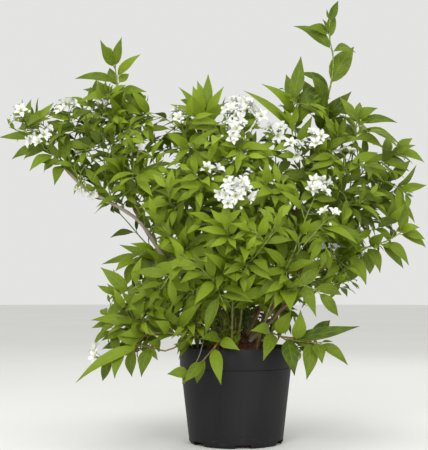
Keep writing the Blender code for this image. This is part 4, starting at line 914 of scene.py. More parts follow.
@dataclass
class Growth:
    """Grows the plant by a fixed rule: wood, green stems, heads of flowers, then leaves.

    A leaf droops by a share between the two of droops, is narrowed by the share slim, and turns
    by up to the angle loose. The shown points, the flowers and the bare branch, are kept in view.
    """

    droops: tuple[float, float] = (0.1, 0.5)
    slim: float = 1.0
    loose: float = 0.0
    shown: list[Vector] = field(default_factory=list)
    shown_tree: KDTree | None = None
    draw: random.Random = field(default_factory=lambda: random.Random(SEED))
    space: Space = field(default_factory=Space)
    rods: dict[str, Rod] = field(default_factory=dict)
    shoots: defaultdict[str, Shoot] = field(default_factory=lambda: defaultdict(Shoot))

    def keep(self, name: str, rod: Rod, sides: int = STEM_SIDES) -> None:
        """Keeps a stem in its piece and in space.

        Args:
            name: The stem's name.
            rod: The stem.
            sides: The sides of its packed section.
        """
        self.rods[name] = rod
        self.shoots[rod.owner].rods.append(rod)
        self.space.add(rod.solid(sides=sides), rod.owner)

    def has_room(self, rod: Rod, skip: float, air: float) -> bool:
        """Whether a stem, with some air round it, meets nothing past a length from its foot."""
        tail = replace(rod, line=rod.line.past(skip))
        return self.space.is_free(tail.solid(air))

    def grow(self) -> None:
        """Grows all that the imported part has."""
        self.space.add(revolved(POT_PROFILE, POT_SIDES), "pot")
        self.space.add(revolved(CROWN_PROFILE, CROWN_SIDES), "woody_canes")
        for cane in CANES:
            line = Line(stepped([Vector(point) for point in cane.course]))
            self.keep(cane.name, Rod(line, cane.foot, CANE_TIP, "woody_canes"), CANE_SIDES)
        for stem in STEMS:
            rooted = stem.parent in CANE_NAMES or stem.parent == "soil"
            self.stem(stem, stem.name if rooted else self.rods[stem.parent].owner)
        for stem in STEMS:
            if stem.head:
                self.head(stem)
        for stem in STEMS:
            self.chosen_leaves(stem)
        for stem in STEMS:
            self.paired_leaves(stem)
        self.twigs()

    def start_of(self, stem: Stem) -> list[Vector]:
        """The first points of a stem, where it leaves its parent.

        Args:
            stem: The stem that starts.

        Returns:
            No point, one point or two points.
        """
        if stem.parent == "soil":
            return []
        parent = self.rods[stem.parent]
        point, ahead = parent.line.at(stem.share)
        if stem.parent not in CANE_NAMES:
            return [point]
        if stem.share == 1:
            return [point + ahead * CLEARANCE]
        away = Vector(stem.course[0]) - point
        away = (away - ahead * away.dot(ahead)).normalized()
        seat = point + away * (parent.radius(stem.share) + CLEARANCE)
        return [seat, seat + away * 4 + ahead * 0.6]

    def stem(self, stem: Stem, owner: str) -> None:
        """Grows a green stem, bent clear of what stands in its way.

        Args:
            stem: The stem to grow.
            owner: The piece that it belongs to.
        """
        start = self.start_of(stem)
        course = start + [Vector(point) for point in stem.course]
        fixed = max(len(start), 2)
        for attempt in range(MOST_BENDS):
            turn = BEND_TURN * attempt
            bend = BEND_STEP * attempt * Vector((cos(turn), sin(turn), 0.3))
            bent = [point + bend * sin(pi * n / (len(course) - 1)) if n >= fixed else point
                    for n, point in enumerate(course)]
            rod = Rod(Line(stepped(bent)), stem.foot, STEM_TIP, owner)
            if self.has_room(rod, SOIL_JOINT if stem.parent == "soil" else STEM_JOINT, AIR):
                break
        if start:
            rod.line.anchor = self.rods[stem.parent].line.smooth(stem.share) - rod.line.points[0]
        self.keep(stem.name, rod)

    def head(self, stem: Stem) -> None:
        """Grows a head of flowers: its axis, then its florets and buds.

        Args:
            stem: The stem that bears it.
        """
        head, shoot = stem.head, self.shoots[stem.head.name]
        tip, ahead = self.rods[stem.name].line.at(1)
        root = tip + ahead * CLEARANCE
        facing = Vector(head.facing).normalized()
        pole = (0.8 * ahead + facing).normalized()
        core = CORE_SHARE * head.reach
        neck = root + ahead * 3
        middle = neck + pole * core
        axis = Line([root, neck, middle, neck + pole * 2 * core])
        solids = [bar(axis, [STEM_TIP, STEM_TIP, core, 0.35 * core], 4)]
        shoot.rods.append(Rod(Line([tip - ahead, neck, middle]), STEM_TIP, STEM_TIP))
        for n in range(head.florets + head.buds):
            flower = self.flower(head, middle, pole, facing, n, solids[1:])
            if flower:
                (shoot.florets if isinstance(flower, Floret) else shoot.buds).append(flower)
                solids.append(flower.solid())
        for solid in solids:
            self.space.add(solid, head.name)

    def flower(self, head: Head, middle: Vector, pole: Vector, facing: Vector, number: int,
               made: list[Solid]) -> Floret | Bud | None:
        """One floret or bud where there is room for it.

        Args:
            head: The head of flowers.
            middle: The middle of its core.
            pole: The direction in which the head opens.
            facing: The direction that its flowers turn to.
            number: The flower's number, which places it between the pole and the back.
            made: The flowers made so far in this head.

        Returns:
            The flower, or None where there is no room.
        """
        share = (number + 0.5) / (head.florets + head.buds)
        for shorten, swing in itertools.product(FLOWER_REACHES, FLOWER_SWINGS):
            polar = radians(FIRST_FLOWER + FLOWER_SPAN * share) + 0.15 * swing
            angle = GOLDEN_ANGLE * number + swing
            out = cos(polar) * pole + sin(polar) * spread_at(angle, *square_to(pole))
            if number < head.florets:
                look = (0.75 * out + 0.7 * facing).normalized()
                shape = Floret(middle, middle + out * head.reach * shorten, look, FLORET_RADIUS, angle)
            else:
                shape = Bud(middle, middle + out * 1.1 * head.reach * shorten)
            probe = shape.solid(0.4)
            if not self.space.is_free(probe):
                continue
            meets = [probe.tree().overlap(solid.tree()) for solid in made]
            # The first three faces of a flower are its stalk, which starts in the core
            if not any(a > 2 and b > 2 for pairs in meets for a, b in pairs):
                return shape
        return None

    def chosen_leaves(self, stem: Stem) -> None:
        """Grows the listed leaves of a stem.

        Args:
            stem: The stem that bears them.
        """
        line = self.rods[stem.name].line
        for leaf in stem.leaves:
            share = min(leaf.share, last_share(stem, line))
            point, ahead = line.at(share)
            tip = Vector(leaf.tip)
            face = Vector((0, -0.75, 0.65)) + 0.3 * outward(tip)
            form = Form.BENT if leaf.rise >= BENT_LEAF else Form.LARGE
            blade = Blade(point, tip - point, leaf.width, leaf.rise, face, form)
            self.leaf(blade, Seat(stem.name, share, point, ahead))

    def paired_leaves(self, stem: Stem) -> None:
        """Grows the opposite pairs that a stem bears by rule, each pair turned from the last.

        Args:
            stem: The stem that bears them.
        """
        line = self.rods[stem.name].line
        for n in range(stem.pairs):
            share = LONE_PAIR
            if stem.pairs > 1:
                share = stem.start + (LAST_PAIR - stem.start) * n / (stem.pairs - 1)
            point, ahead = line.at(min(share, last_share(stem, line)))
            quarter = radians(90 if abs(ahead.z) > 0.5 or stem.pairs > 3 else 0) * (n % 2)
            # The leaves a third of the way along are the longest
            size = stem.leaf * (0.8 + 0.45 * share - 0.65 * share ** 2)
            for way in (1, -1):
                length = size * self.draw.uniform(*LEAF_SIZES)
                out = line.side(share, way * spread_at(quarter, *square_to(ahead)))
                self.rule_leaf(Seat(stem.name, share, point + ahead * 0.3 * way, ahead), out, length)

    def rule_leaf(self, seat: Seat, out: Vector, length: float) -> None:
        """Grows a leaf of a pair, in the first of a few directions where it has room.

        Args:
            seat: Where it leaves its stem.
            out: The direction in which the leaf leaves the stem.
            length: The leaf's length.
        """
        _, share, point, ahead = seat
        droop = self.draw.uniform(*self.droops)
        roll = self.draw.uniform(-LEAF_ROLL, LEAF_ROLL)
        turn, rise = [self.draw.uniform(-self.loose, self.loose) for _ in range(2)] if self.loose else (0, 0)
        # Leaves nearer the stem's tip point further ahead
        first = spread_at(radians(64 - 24 * share), ahead, out)
        for swing, climb, size in LEAF_TRIES:
            aim = Matrix.Rotation(swing + turn, 3, ahead) @ first + (climb + rise) * UP
            aim = (aim.normalized() - droop * UP).normalized()
            reach = aim * length * size
            tip = point + reach
            if in_front_of_crown(tip) or self.loose and not self.has_view(point, tip):
                continue
            front = 0.6 if tip.y < 60 else 0.0
            face = 0.45 * UP + 0.5 * outward(tip) + front * FRONT + roll * aim.cross(UP)
            width = reach.length * LEAF_SHAPE * self.slim
            if self.leaf(Blade(point, reach, width, 0.12 * reach.length, face, Form.SMALL), seat):
                return

    def has_view(self, root: Vector, tip: Vector) -> bool:
        """Whether a leaf keeps within the outline, and leaves what is shown in view.

        Args:
            root: The leaf's root.
            tip: Its tip.

        Returns:
            True where it does.
        """
        hidden = (self.shown[n].y > spot.y - 3 for spot in (tip, 0.5 * (root + tip))
                  for _, n, _ in self.shown_tree.find_range(seen(spot), 15))
        return within_outline(tip) and not any(hidden)

    def leaf(self, blade: Blade, seat: Seat) -> bool:
        """Keeps a leaf where it is clear of other pieces and, past its stem, of its own.

        Args:
            blade: The leaf.
            seat: Where it leaves its stem.

        Returns:
            True where the leaf is kept.
        """
        name, share, _, ahead = seat
        rod = self.rods[name]
        length = blade.reach.length
        slant = max(LEAST_SLANT, ahead.cross(blade.reach).length / length)
        blade.bare = (rod.radius(share) + LEAF_STALK) / slant
        blade.drift = rod.line.drift(share)
        if not self.space.is_free(blade.solid(blade.bare / length, 0.5 * AIR)):
            return False
        if not self.space.is_free(blade.solid(0.0, 0.5 * AIR), rod.owner):
            return False
        self.space.add(blade.solid(), rod.owner)
        self.shoots[rod.owner].blades.append(blade)
        rod.knots.append(share)
        return True

    def seats(self, names: list[str], spacing: float, low: float, height: float) -> list[Seat]:
        """The places on some stems from which a twig can leave.

        Args:
            names: The stems' names.
            spacing: About how far apart the places are.
            low: The share of a green stem's length at which they start.
            height: The lowest height of a place.

        Returns:
            The seats.
        """
        seats = []
        for name in names:
            line = self.rods[name].line
            count = int(line.length / spacing)
            first = 0.3 if name in CANE_NAMES else low
            shares = [(n + 0.5) / count for n in range(count)]
            found = [Seat(name, share, *line.at(share)) for share in shares if first < share < LAST_SEAT]
            seats += [seat for seat in found if seat.point.z > height]
        return seats

    def twigs(self) -> None:
        """Grows side twigs towards drawn points of the crown, each from the nearest green stem."""
        seats = self.seats([stem.name for stem in STEMS], 12, 0.15, RIM_HEIGHT + 25)
        made = []
        for _ in range(TWIG_DRAWS):
            if len(made) == MOST_TWIGS:
                break
            target = self.target(MASSES)
            near = [] if in_front_of_crown(target) else [seat for seat in seats if suits(seat, target)]
            if near:
                seat = min(near, key=lambda seat: (target - seat.point).length)
                twig = self.twig(seat, target, TWIG_PAIRS, TWIG_LEAF)
                made += [twig] if twig else []
        for twig in made:
            self.paired_leaves(twig)

    def twig(self, seat: Seat, target: Vector, pairs: int, leaf: float,
             start: float = 0.42) -> Stem | None:
        """Grows one bare twig.

        Args:
            seat: Where it leaves its stem.
            target: Where the twig is to end.
            pairs: Its pairs of leaves.
            leaf: The length of its leaves.
            start: The share of its length where the first pair stands.

        Returns:
            The twig's plan, or None where there is no room for it.
        """
        name, share, point, ahead = seat
        parent = self.rods[name]
        way = target - point
        line = Line([point, point + 0.2 * way.length * ahead + 0.42 * way, target], parent.line.drift(share))
        rod = Rod(line, min(1.2, 0.8 * parent.radius(share)), STEM_TIP, parent.owner)
        if not self.has_room(rod, TWIG_JOINT, 5 * AIR) or not self.space.is_free(rod.solid(AIR), rod.owner):
            return None
        if rod.owner == "woody_canes":
            rod.owner = "cane_twigs"
        twig = Stem(f"twig_{len(self.rods)}", name, share, (), rod.foot, pairs, leaf, start)
        self.keep(twig.name, rod)
        return twig

    def target(self, masses: tuple[Mass, ...]) -> Vector:
        """Draws a point within the masses that make up the shrub's crown.

        Args:
            masses: Their centres, half sizes and weights.

        Returns:
            The point.
        """
        centre, radii = self.draw.choices(masses, weights=[mass[2] for mass in masses])[0][:2]
        while True:
            spot = Vector([self.draw.uniform(-1, 1) for _ in range(3)])
            if 0.3 < spot.length < 1:
                return Vector([c + r * k for c, r, k in zip(centre, radii, spot)])


@dataclass
class Thicket:
    """The finer side twigs that fill the crown's masses, and the young leaves at the stems' tips."""

    growth: Growth
    seed: int = 7
    rounds: tuple[int, ...] = (190, 210)
    draws: int = 7000
    leaf: float = 64.0
    droops: tuple[float, float] = (-0.2, 0.36)
    slim: float = 0.93
    loose: float = 0.5
    shifts: tuple[int, ...] = (0, -8, 8, -16, 16, -26, 26)
    masses: tuple[Mass, ...] = (
        ((-205, -5, 560), (55, 50, 45), 4), ((-316, -45, 516), (70, 45, 55), 3),
        ((-205, -20, 490), (85, 80, 70), 8), ((-120, -20, 440), (85, 100, 110), 8),
        ((0, -20, 398), (110, 150, 130), 14), ((-36, -10, 533), (60, 60, 50), 3),
        ((126, -15, 533), (75, 70, 60), 4), ((202, -20, 440), (90, 90, 100), 9),
        ((143, -40, 321), (95, 110, 65), 7), ((-87, -50, 245), (90, 110, 70), 7),
        ((-172, -90, 211), (60, 70, 60), 4), ((-146, -110, 157), (60, 40, 30), 2),
        ((109, -80, 169), (45, 40, 30), 2), ((0, 130, 380), (170, 130, 150), 10),
        ((7, -90, 262), (120, 60, 40), 5), ((8, 62, 222), (110, 50, 50), 6),
    )
    placed: tuple[tuple[str, tuple[Leaf, ...]], ...] = (
        ("left_leader", (
            Leaf(0.84, (-229, -28, 676), 14, 3), Leaf(0.84, (-194, -22, 684), 14, 3),
            Leaf(0.58, (-219, 22, 641), 14, 4), Leaf(0.62, (-184, 20, 628), 13, 4),
            Leaf(0.34, (-236, -44, 606), 16, 5), Leaf(0.3, (-186, -48, 596), 15, 5),
            Leaf(0.16, (-250, 20, 566), 17, 6), Leaf(0.1, (-208, -60, 572), 17, 5))),
        ("right_leader", (
            Leaf(0.84, (171, 10, 740), 14, 3), Leaf(0.3, (124, -40, 620), 20, 7),
            Leaf(0.12, (150, -60, 590), 20, 6))),
        ("right_upper", (Leaf(0.94, (88, -10, 628), 17, 4),)),
        ("middle_top", (Leaf(0.9, (-66, 10, 616), 15, 3), Leaf(0.5, (-96, -36, 592), 16, 6))),
    )

    def fill(self) -> None:
        """Grows the twigs, each round from all the stems that are there by then."""
        growth = self.growth
        growth.draw = random.Random(self.seed)
        growth.droops, growth.slim, growth.loose = self.droops, self.slim, self.loose
        growth.shown = [flower.centre for shoot in growth.shoots.values() for flower in shoot.florets]
        growth.shown += [growth.rods["low_left_cane"].line.at(n / 24)[0] for n in range(10, 23)]
        growth.shown_tree = searched([seen(spot) for spot in growth.shown])
        self.place()
        for wanted in self.rounds:
            seats = growth.seats(list(growth.rods), 10, 0.12, RIM_HEIGHT + 15)
            places = searched([seat.point for seat in seats])
            made = 0
            for _ in range(self.draws):
                target = growth.target(self.masses)
                if within_outline(target) and not in_front_of_crown(target):
                    near = [seats[n] for _, n, _ in places.find_range(target, TWIG_LONGEST)]
                    made += self.branch([seat for seat in near if suits(seat, target)], target)
                if made == wanted:
                    break
            LOG.info("%d side twigs of %d", made, wanted)
        self.tips()

    def branch(self, near: list[Seat], target: Vector) -> bool:
        """Grows a leafy twig from one of the three nearest places.

        Args:
            near: The places from which it can leave.
            target: Where it is to end.

        Returns:
            True where there was room for it.
        """
        for seat in sorted(near, key=lambda seat: (target - seat.point).length)[:3]:
            leaf = self.leaf * self.growth.draw.uniform(0.75, 1.25)
            twig = self.growth.twig(seat, target, 3 if leaf > 58 else 4, leaf, 0.3)
            if twig:
                self.growth.paired_leaves(twig)
                return True
        return False

    def place(self) -> None:
        """Adds the listed leaves, each moved forwards or back until it has room."""
        for name, leaves in self.placed:
            for leaf in leaves:
                point, ahead = self.growth.rods[name].line.at(leaf.share)
                for shift in self.shifts:
                    reach = Vector(leaf.tip) - shift * FRONT - point
                    blade = Blade(point, reach, leaf.width, leaf.rise, 0.4 * UP + FRONT, Form.LARGE)
                    if self.growth.leaf(blade, Seat(name, leaf.share, point, ahead)):
                        break

    def tips(self) -> None:
        """Grows two small young leaves at the tip of each stem that bears no flowers."""
        growth = self.growth
        bearing = {stem.name for stem in STEMS if stem.head} | CANE_NAMES
        for name in [name for name in growth.rods if name not in bearing]:
            point, ahead = growth.rods[name].line.at(1)
            level, high = square_to(ahead)
            for way in (1, -1):
                length = growth.draw.uniform(13, 24)
                reach = (ahead + 0.35 * way * level + 0.15 * high).normalized() * length
                face = high + 0.8 * way * level
                blade = Blade(point - ahead, reach, 0.3 * length, 0.08 * length, face, Form.SMALL)
                growth.leaf(blade, Seat(name, 1.0, point, ahead))


def linear(colour: str) -> tuple[float, float, float, float]:
    """The linear colour of an sRGB hex value."""
    parts = [int(colour[k:k + 2], 16) / 255 for k in (1, 3, 5)]
    return (*(p / 12.92 if p <= 0.04045 else ((p + 0.055) / 1.055) ** 2.4 for p in parts), 1.0)


def add(tree: NodeTree, kind: str, *inputs: Input, out: int = 0,
        **settings: str | bool) -> NodeSocket:
    """Adds a shader node with its settings and links.

    Args:
        tree: The tree that gets the node.
        kind: The node's type.
        inputs: For each input in its order, a socket to link from, a value, a colour's hex value,
            or None to leave it.
        out: The number of the output that is wanted.
        settings: The node's own settings.

    Returns:
        The output's socket.
    """
    node = tree.nodes.new(f"ShaderNode{kind}")
    for name, value in settings.items():
        setattr(node, name, value)
    for socket, value in zip([socket for socket in node.inputs if socket.enabled], inputs):
        if isinstance(value, NodeSocket):
            tree.links.new(value, socket)
        elif value is not None:
            socket.default_value = linear(value) if isinstance(value, str) else value
    return [socket for socket in node.outputs if socket.enabled][out]


def grain(tree: NodeTree, spot: NodeSocket, size_mm: float, low: float = 0.3,
          high: float = 0.7) -> NodeSocket:
    """A soft random pattern from 0 to 1, of spots of a size, between two limits of its noise."""
    cloud = add(tree, "TexNoise", spot, 1000 / size_mm, 3.0)
    return add(tree, "MapRange", cloud, low, high)


@dataclass(frozen=True)
class Finish:
    """A finish with a name of its own, its shader's constants, and its relief's depth and strength.

    A relief with a depth below zero is sunken.
    """

    name: str
    roughness: float
    ior: float = 1.45
    subsurface: float = 0.0
    gloss: float = 0.5
    depth_mm: float = 0.0
    strength: float = 1.0

    def make(self) -> Material:
        """Makes the material.

        Returns:
            The material, with its pattern linked.
        """
        made = bpy.data.materials.new(self.name)
        made.use_nodes = True
        tree = made.node_tree
        shader = tree.nodes["Principled BSDF"]
        shader.inputs["Roughness"].default_value = self.roughness
        shader.inputs["IOR"].default_value = self.ior
        shader.inputs["Subsurface Weight"].default_value = self.subsurface
        shader.inputs["Subsurface Radius"].default_value = (1.0, 0.9, 0.4)
        shader.inputs["Subsurface Scale"].default_value = 0.001
        shader.inputs["Specular IOR Level"].default_value = self.gloss
        links = self.pattern(tree)
        if "Height" in links:
            height, depth = links.pop("Height"), abs(self.depth_mm) * METRES
            links["Normal"] = add(tree, "Bump", self.strength, depth, None, height, invert=self.depth_mm < 0)
        for name, socket in links.items():
            tree.links.new(socket, shader.inputs[name])
        return made

    def pattern(self, tree: NodeTree) -> Links:
        """The pattern's sockets by the shader's inputs, with its relief as Height."""
        raise NotImplementedError


@dataclass(frozen=True)
class LeafFace(Finish):
    """One face of a deutzia leaf: thin, soft and slightly rough, with sunken or raised veins."""

    shade: str = "#35460C"
    light: str = "#819720"
    vein: str = "#92A444"
    vein_share: float = 0.22

    def pattern(self, tree: NodeTree) -> Links:
        """The leaf's green, which differs from leaf to leaf by chance and by the painted light and shade in
        its tone, and its veins.

        Args:
            tree: The material's tree.

        Returns:
            Its sockets.
        """
        across = add(tree, "SeparateXYZ", add(tree, "UVMap"))
        offset = add(tree, "Math", across, 0.5, operation="SUBTRACT")
        offset = add(tree, "Math", offset, operation="ABSOLUTE")
        rib = add(tree, "MapRange", offset, 0.008, 0.045, 1.0, 0.0)
        # Six pairs of side veins, which run outwards and towards the tip
        phase = add(tree, "Math", across.node.outputs[1], 6.0, operation="MULTIPLY")
        phase = add(tree, "Math", offset, -2.6, phase, operation="MULTIPLY_ADD")
        wave = add(tree, "Math", phase, 0.5, operation="PINGPONG")
        side = add(tree, "MapRange", wave, 0.02, 0.11, 0.75, 0.0)
        veins = add(tree, "Math", rib, side, operation="MAXIMUM")
        # The tone carries each leaf's chance difference and its painted light and shade
        tone = add(tree, "Attribute", out=2, attribute_name="tone")
        green = add(tree, "Mix", tone, self.shade, self.light, data_type="RGBA")
        # Uneven green over 14 mm, as a young leaf yellows between its veins
        patch = grain(tree, add(tree, "TexCoord", out=3), 14)
        patch = add(tree, "Math", patch, 0.22, operation="MULTIPLY")
        green = add(tree, "Mix", patch, green, self.light, data_type="RGBA")
        share = add(tree, "Math", veins, self.vein_share, operation="MULTIPLY")
        return {"Base Color": add(tree, "Mix", share, green, self.vein, data_type="RGBA"), "Height": veins}


@dataclass(frozen=True)
class GreenStem(Finish):
    """Young deutzia stems: pale green, and brown where they leave the soil."""

    def pattern(self, tree: NodeTree) -> Links:
        """The green, its streaks and the brown foot.

        Args:
            tree: The material's tree.

        Returns:
            Its sockets.
        """
        spot = add(tree, "TexCoord", out=3)
        streak = grain(tree, spot, 6)
        green = add(tree, "Mix", streak, "#5F7424", "#8B9A44", data_type="RGBA")
        brown = add(tree, "Mix", streak, "#5A4826", "#8C7640", data_type="RGBA")
        young = add(tree, "MapRange", add(tree, "SeparateXYZ", spot, out=2), 0.155, 0.25)
        colour = add(tree, "Mix", young, brown, green, data_type="RGBA")
        return {"Base Color": colour, "Height": grain(tree, spot, 1.5)}


@dataclass(frozen=True)
class PeelingBark(Finish):
    """Bark of an old deutzia stem: tan and brown strips that peel along it, greyed on top."""

    def pattern(self, tree: NodeTree) -> Links:
        """The strips, the weathered grey and the relief.

        Args:
            tree: The material's tree.

        Returns:
            Its sockets.
        """
        # One turn of a stem is some 25 mm of bark, and a strip is 3 mm wide and 20 mm long
        spot = add(tree, "VectorMath", add(tree, "UVMap"), (0.025, 0.15, 0.0), operation="MULTIPLY")
        strips, fine = grain(tree, spot, 3.0, 0.42, 0.58), grain(tree, spot, 0.8)
        brown = add(tree, "Mix", strips, "#5A3F2A", "#A98660", data_type="RGBA")
        pale = add(tree, "Mix", fine, "#8B8070", "#B5AA96", data_type="RGBA")
        grey = grain(tree, add(tree, "TexCoord", out=3), 60, 0.45, 0.6)
        aged = add(tree, "Attribute", out=2, attribute_name="tone")
        share = add(tree, "Math", grey, 0.35, aged, operation="MULTIPLY_ADD", use_clamp=True)
        colour = add(tree, "Mix", share, brown, pale, data_type="RGBA")
        return {"Base Color": colour, "Height": add(tree, "Math", strips, fine, operation="ADD")}


@dataclass(frozen=True)
class PetalSkin(Finish):
    """White deutzia petals: thin, satin and faintly veined, and greenish cream at their foot."""

    def pattern(self, tree: NodeTree) -> Links:
        """The white, the cream foot and the fine veins.

        Args:
            tree: The material's tree.

        Returns:
            Its sockets.
        """
        across = add(tree, "SeparateXYZ", add(tree, "UVMap"))
        outer = add(tree, "MapRange", across.node.outputs[1], 0.05, 0.3)
        lines = add(tree, "Math", across, 9.0, operation="MULTIPLY")
        lines = add(tree, "Math", lines, 0.5, operation="PINGPONG")
        faint = add(tree, "Math", lines, 0.12, operation="MULTIPLY")
        white = add(tree, "Mix", faint, "#DCDDD7", "#C2C6B8", data_type="RGBA")
        return {"Base Color": add(tree, "Mix", outer, "#B9C08E", white, data_type="RGBA"), "Height": lines}


@dataclass(frozen=True)
class Speckled(Finish):
    """Two close colours in soft spots, as on an anther, a calyx or the matt paper of the floor."""

    first: str = "#F3EFD6"
    second: str = "#E2D79E"
    size_mm: float = 1.0

    def pattern(self, tree: NodeTree) -> Links:
        """The two colours."""
        specks = grain(tree, add(tree, "TexCoord", out=3), self.size_mm)
        return {"Base Color": add(tree, "Mix", specks, self.first, self.second, data_type="RGBA")}


@dataclass(frozen=True)
class MouldedPlastic(Finish):
    """Black injection moulded polypropylene: matt, with a faint grain, flow marks and scuffs."""

    def pattern(self, tree: NodeTree) -> Links:
        """The black, the flow marks, the scuffs near the ground and the grain.

        Args:
            tree: The material's tree.

        Returns:
            Its sockets.
        """
        spot = add(tree, "TexCoord", out=3)
        flow = grain(tree, add(tree, "VectorMath", spot, (1, 1, 0.25), operation="MULTIPLY"), 45)
        black = add(tree, "Mix", flow, "#18181A", "#202021", data_type="RGBA")
        worn = grain(tree, add(tree, "VectorMath", spot, (1, 1, 6), operation="MULTIPLY"), 16, 0.6, 0.72)
        low = add(tree, "MapRange", add(tree, "SeparateXYZ", spot, out=2), 0.002, 0.03, 0.5, 0.04)
        scuff = add(tree, "Math", worn, low, operation="MULTIPLY")
        black = add(tree, "Mix", scuff, black, "#474745", data_type="RGBA")
        dull = add(tree, "MapRange", flow, 0.0, 1.0, self.roughness - 0.05, self.roughness + 0.07)
        # The mould's grain is 0.3 mm, drawn as 1.2 mm so that it shows
        return {"Base Color": black, "Roughness": dull, "Height": grain(tree, spot, 1.2)}


@dataclass(frozen=True)
class PottingSoil(Finish):
    """Moist reddish brown potting soil: crumbs of peat and bark, with pale fibres."""

    def pattern(self, tree: NodeTree) -> Links:
        """The crumbs' browns, the fibres and the relief.

        Args:
            tree: The material's tree.

        Returns:
            Its sockets.
        """
        spot = add(tree, "TexCoord", out=3)
        crumbs = add(tree, "TexVoronoi", spot, 1000 / 5.0)
        shade = add(tree, "SeparateXYZ", crumbs.node.outputs["Color"])
        brown = add(tree, "Mix", shade, "#34190F", "#6C3826", data_type="RGBA")
        brown = add(tree, "Mix", grain(tree, spot, 18), brown, "#4C2417", data_type="RGBA")
        fibres = add(tree, "VectorMath", spot, (1, 4, 1), operation="MULTIPLY")
        fibres = grain(tree, fibres, 9, 0.66, 0.7)
        brown = add(tree, "Mix", fibres, brown, "#9A7650", data_type="RGBA")
        lumps = add(tree, "Math", crumbs, grain(tree, spot, 2), operation="ADD")
        return {"Base Color": brown, "Height": lumps}


def frozen(shape: BMesh, name: str) -> Mesh:
    """Turns a shape that is done into a mesh.

    Args:
        shape: The shape, which is freed.
        name: The mesh's name.

    Returns:
        The mesh.
    """
    mesh = bpy.data.meshes.new(name)
    shape.to_mesh(mesh)
    shape.free()
    return mesh


def linked(name: str, data: ID | None) -> Object:
    """Makes an object and links it to the scene.

    Args:
        name: Its name.
        data: Its mesh, light or camera.

    Returns:
        The object.
    """
    thing = bpy.data.objects.new(name, data)
    bpy.context.scene.collection.objects.link(thing)
    return thing


def placed(name: str, mesh: Mesh, finishes: list[Material], slot: str,
           replaced: str | None = None) -> None:
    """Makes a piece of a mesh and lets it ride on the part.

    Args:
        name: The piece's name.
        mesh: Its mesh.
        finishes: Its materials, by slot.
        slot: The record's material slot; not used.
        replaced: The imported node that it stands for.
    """
    for finish in finishes:
        mesh.materials.append(finish)
    piece = linked(name, mesh)
    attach(piece, "root")
    if replaced:
        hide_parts(replaced)
    LOG.info("%s: %d faces", name, len(mesh.polygons))


@dataclass
class Sleeve:
    """A closed tube of rings, shaped once by operators and then set to the form of each copy.

    The slots are a row for each stretch with a number for each side, the last of either also for
    those that follow. Across holds the UV's U at each side, where it isn't even round the tube,
    and the edge along a sharp side is sharp.
    """

    sides: int
    rings: int
    slots: tuple[tuple[int, ...], ...] = ((0,),)
    across: tuple[float, ...] = ()
    sharp: tuple[int, ...] = ()

    def __post_init__(self) -> None:
        """Shapes the tube."""
        sides, last = self.sides, self.rings - 1
        shape = bmesh.new()
        bmesh.ops.create_circle(shape, segments=sides, radius=1.0)
        bmesh.ops.spin(shape, geom=shape.verts[:] + shape.edges[:], cent=(0, 0, 0), axis=(0, 0, 1),
                       dvec=(0, 0, 1), angle=0, steps=last)
        bmesh.ops.holes_fill(shape, edges=shape.edges[:], sides=sides)
        bmesh.ops.recalc_face_normals(shape, faces=shape.faces[:])
        uv = shape.loops.layers.uv.new("UVMap")
        shape.verts.layers.float.new("tone")
        places = {}
        for vert in shape.verts:
            turn = atan2(vert.co.y, vert.co.x) - pi / 2
            places[vert] = round(vert.co.z), round(turn * sides / tau) % sides
        for face in shape.faces:
            stretches, met = zip(*(places[vert] for vert in face.verts))
            seam = set(met) == {0, sides - 1}
            row = self.slots[min(*stretches, last - 1, len(self.slots) - 1)]
            face.material_index = row[min(sides - 1 if seam else min(met), len(row) - 1)]
            face.smooth = True
            for loop in face.loops:
                n, k = places[loop.vert]
                even = 1.0 if seam and k == 0 else k / sides
                loop[uv].uv = (self.across[k] if self.across else even, n / last)
        for edge in shape.edges:
            first, second = (places[vert][1] for vert in edge.verts)
            edge.smooth = not (first == second and first in self.sharp)
        self.ring, self.side = np.array([places[vert] for vert in shape.verts]).T
        self.mesh = frozen(shape, "sleeve")
        self.uv = np.zeros(len(self.mesh.loops) * 2, np.float32)
        self.mesh.uv_layers[0].data.foreach_get("uv", self.uv)

    def shaped(self, points: np.ndarray, tone: float = 0.5, length: float = 0.0) -> Mesh:
        """Sets the tube to a form.

        Args:
            points: The place of each point, by ring and side, in millimetres.
            tone: The number that tells copies apart in their colour.
            length: The tube's length in metres, where its UV's V is to be true.

        Returns:
            The tube's mesh, good until the next call.
        """
        places = points[self.ring, self.side] * METRES
        self.mesh.vertices.foreach_set("co", places.astype(np.float32).ravel())
        self.mesh.attributes["tone"].data.foreach_set("value", np.full(len(self.ring), tone, np.float32))
        if length:
            uv = self.uv.copy()
            uv[1::2] *= length
            self.mesh.uv_layers[0].data.foreach_set("uv", uv)
        return self.mesh


@lru_cache
def plain_sleeve(sides: int, rings: int, slot: int) -> Sleeve:
    """The sleeve of a stem with all its faces in one material slot."""
    return Sleeve(sides, rings, ((slot,),))


@dataclass
class Gathered:
    """A piece in the making, which gathers shaped tubes into one mesh."""

    name: str
    finishes: list[Material]
    shape: BMesh = field(default_factory=bmesh.new)

    def add(self, mesh: Mesh) -> None:
        """Gathers one mesh."""
        self.shape.from_mesh(mesh)

    def done(self, slot: str, replaced: str | None = None) -> None:
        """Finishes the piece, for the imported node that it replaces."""
        placed(self.name, frozen(self.shape, self.name), self.finishes, slot, replaced)


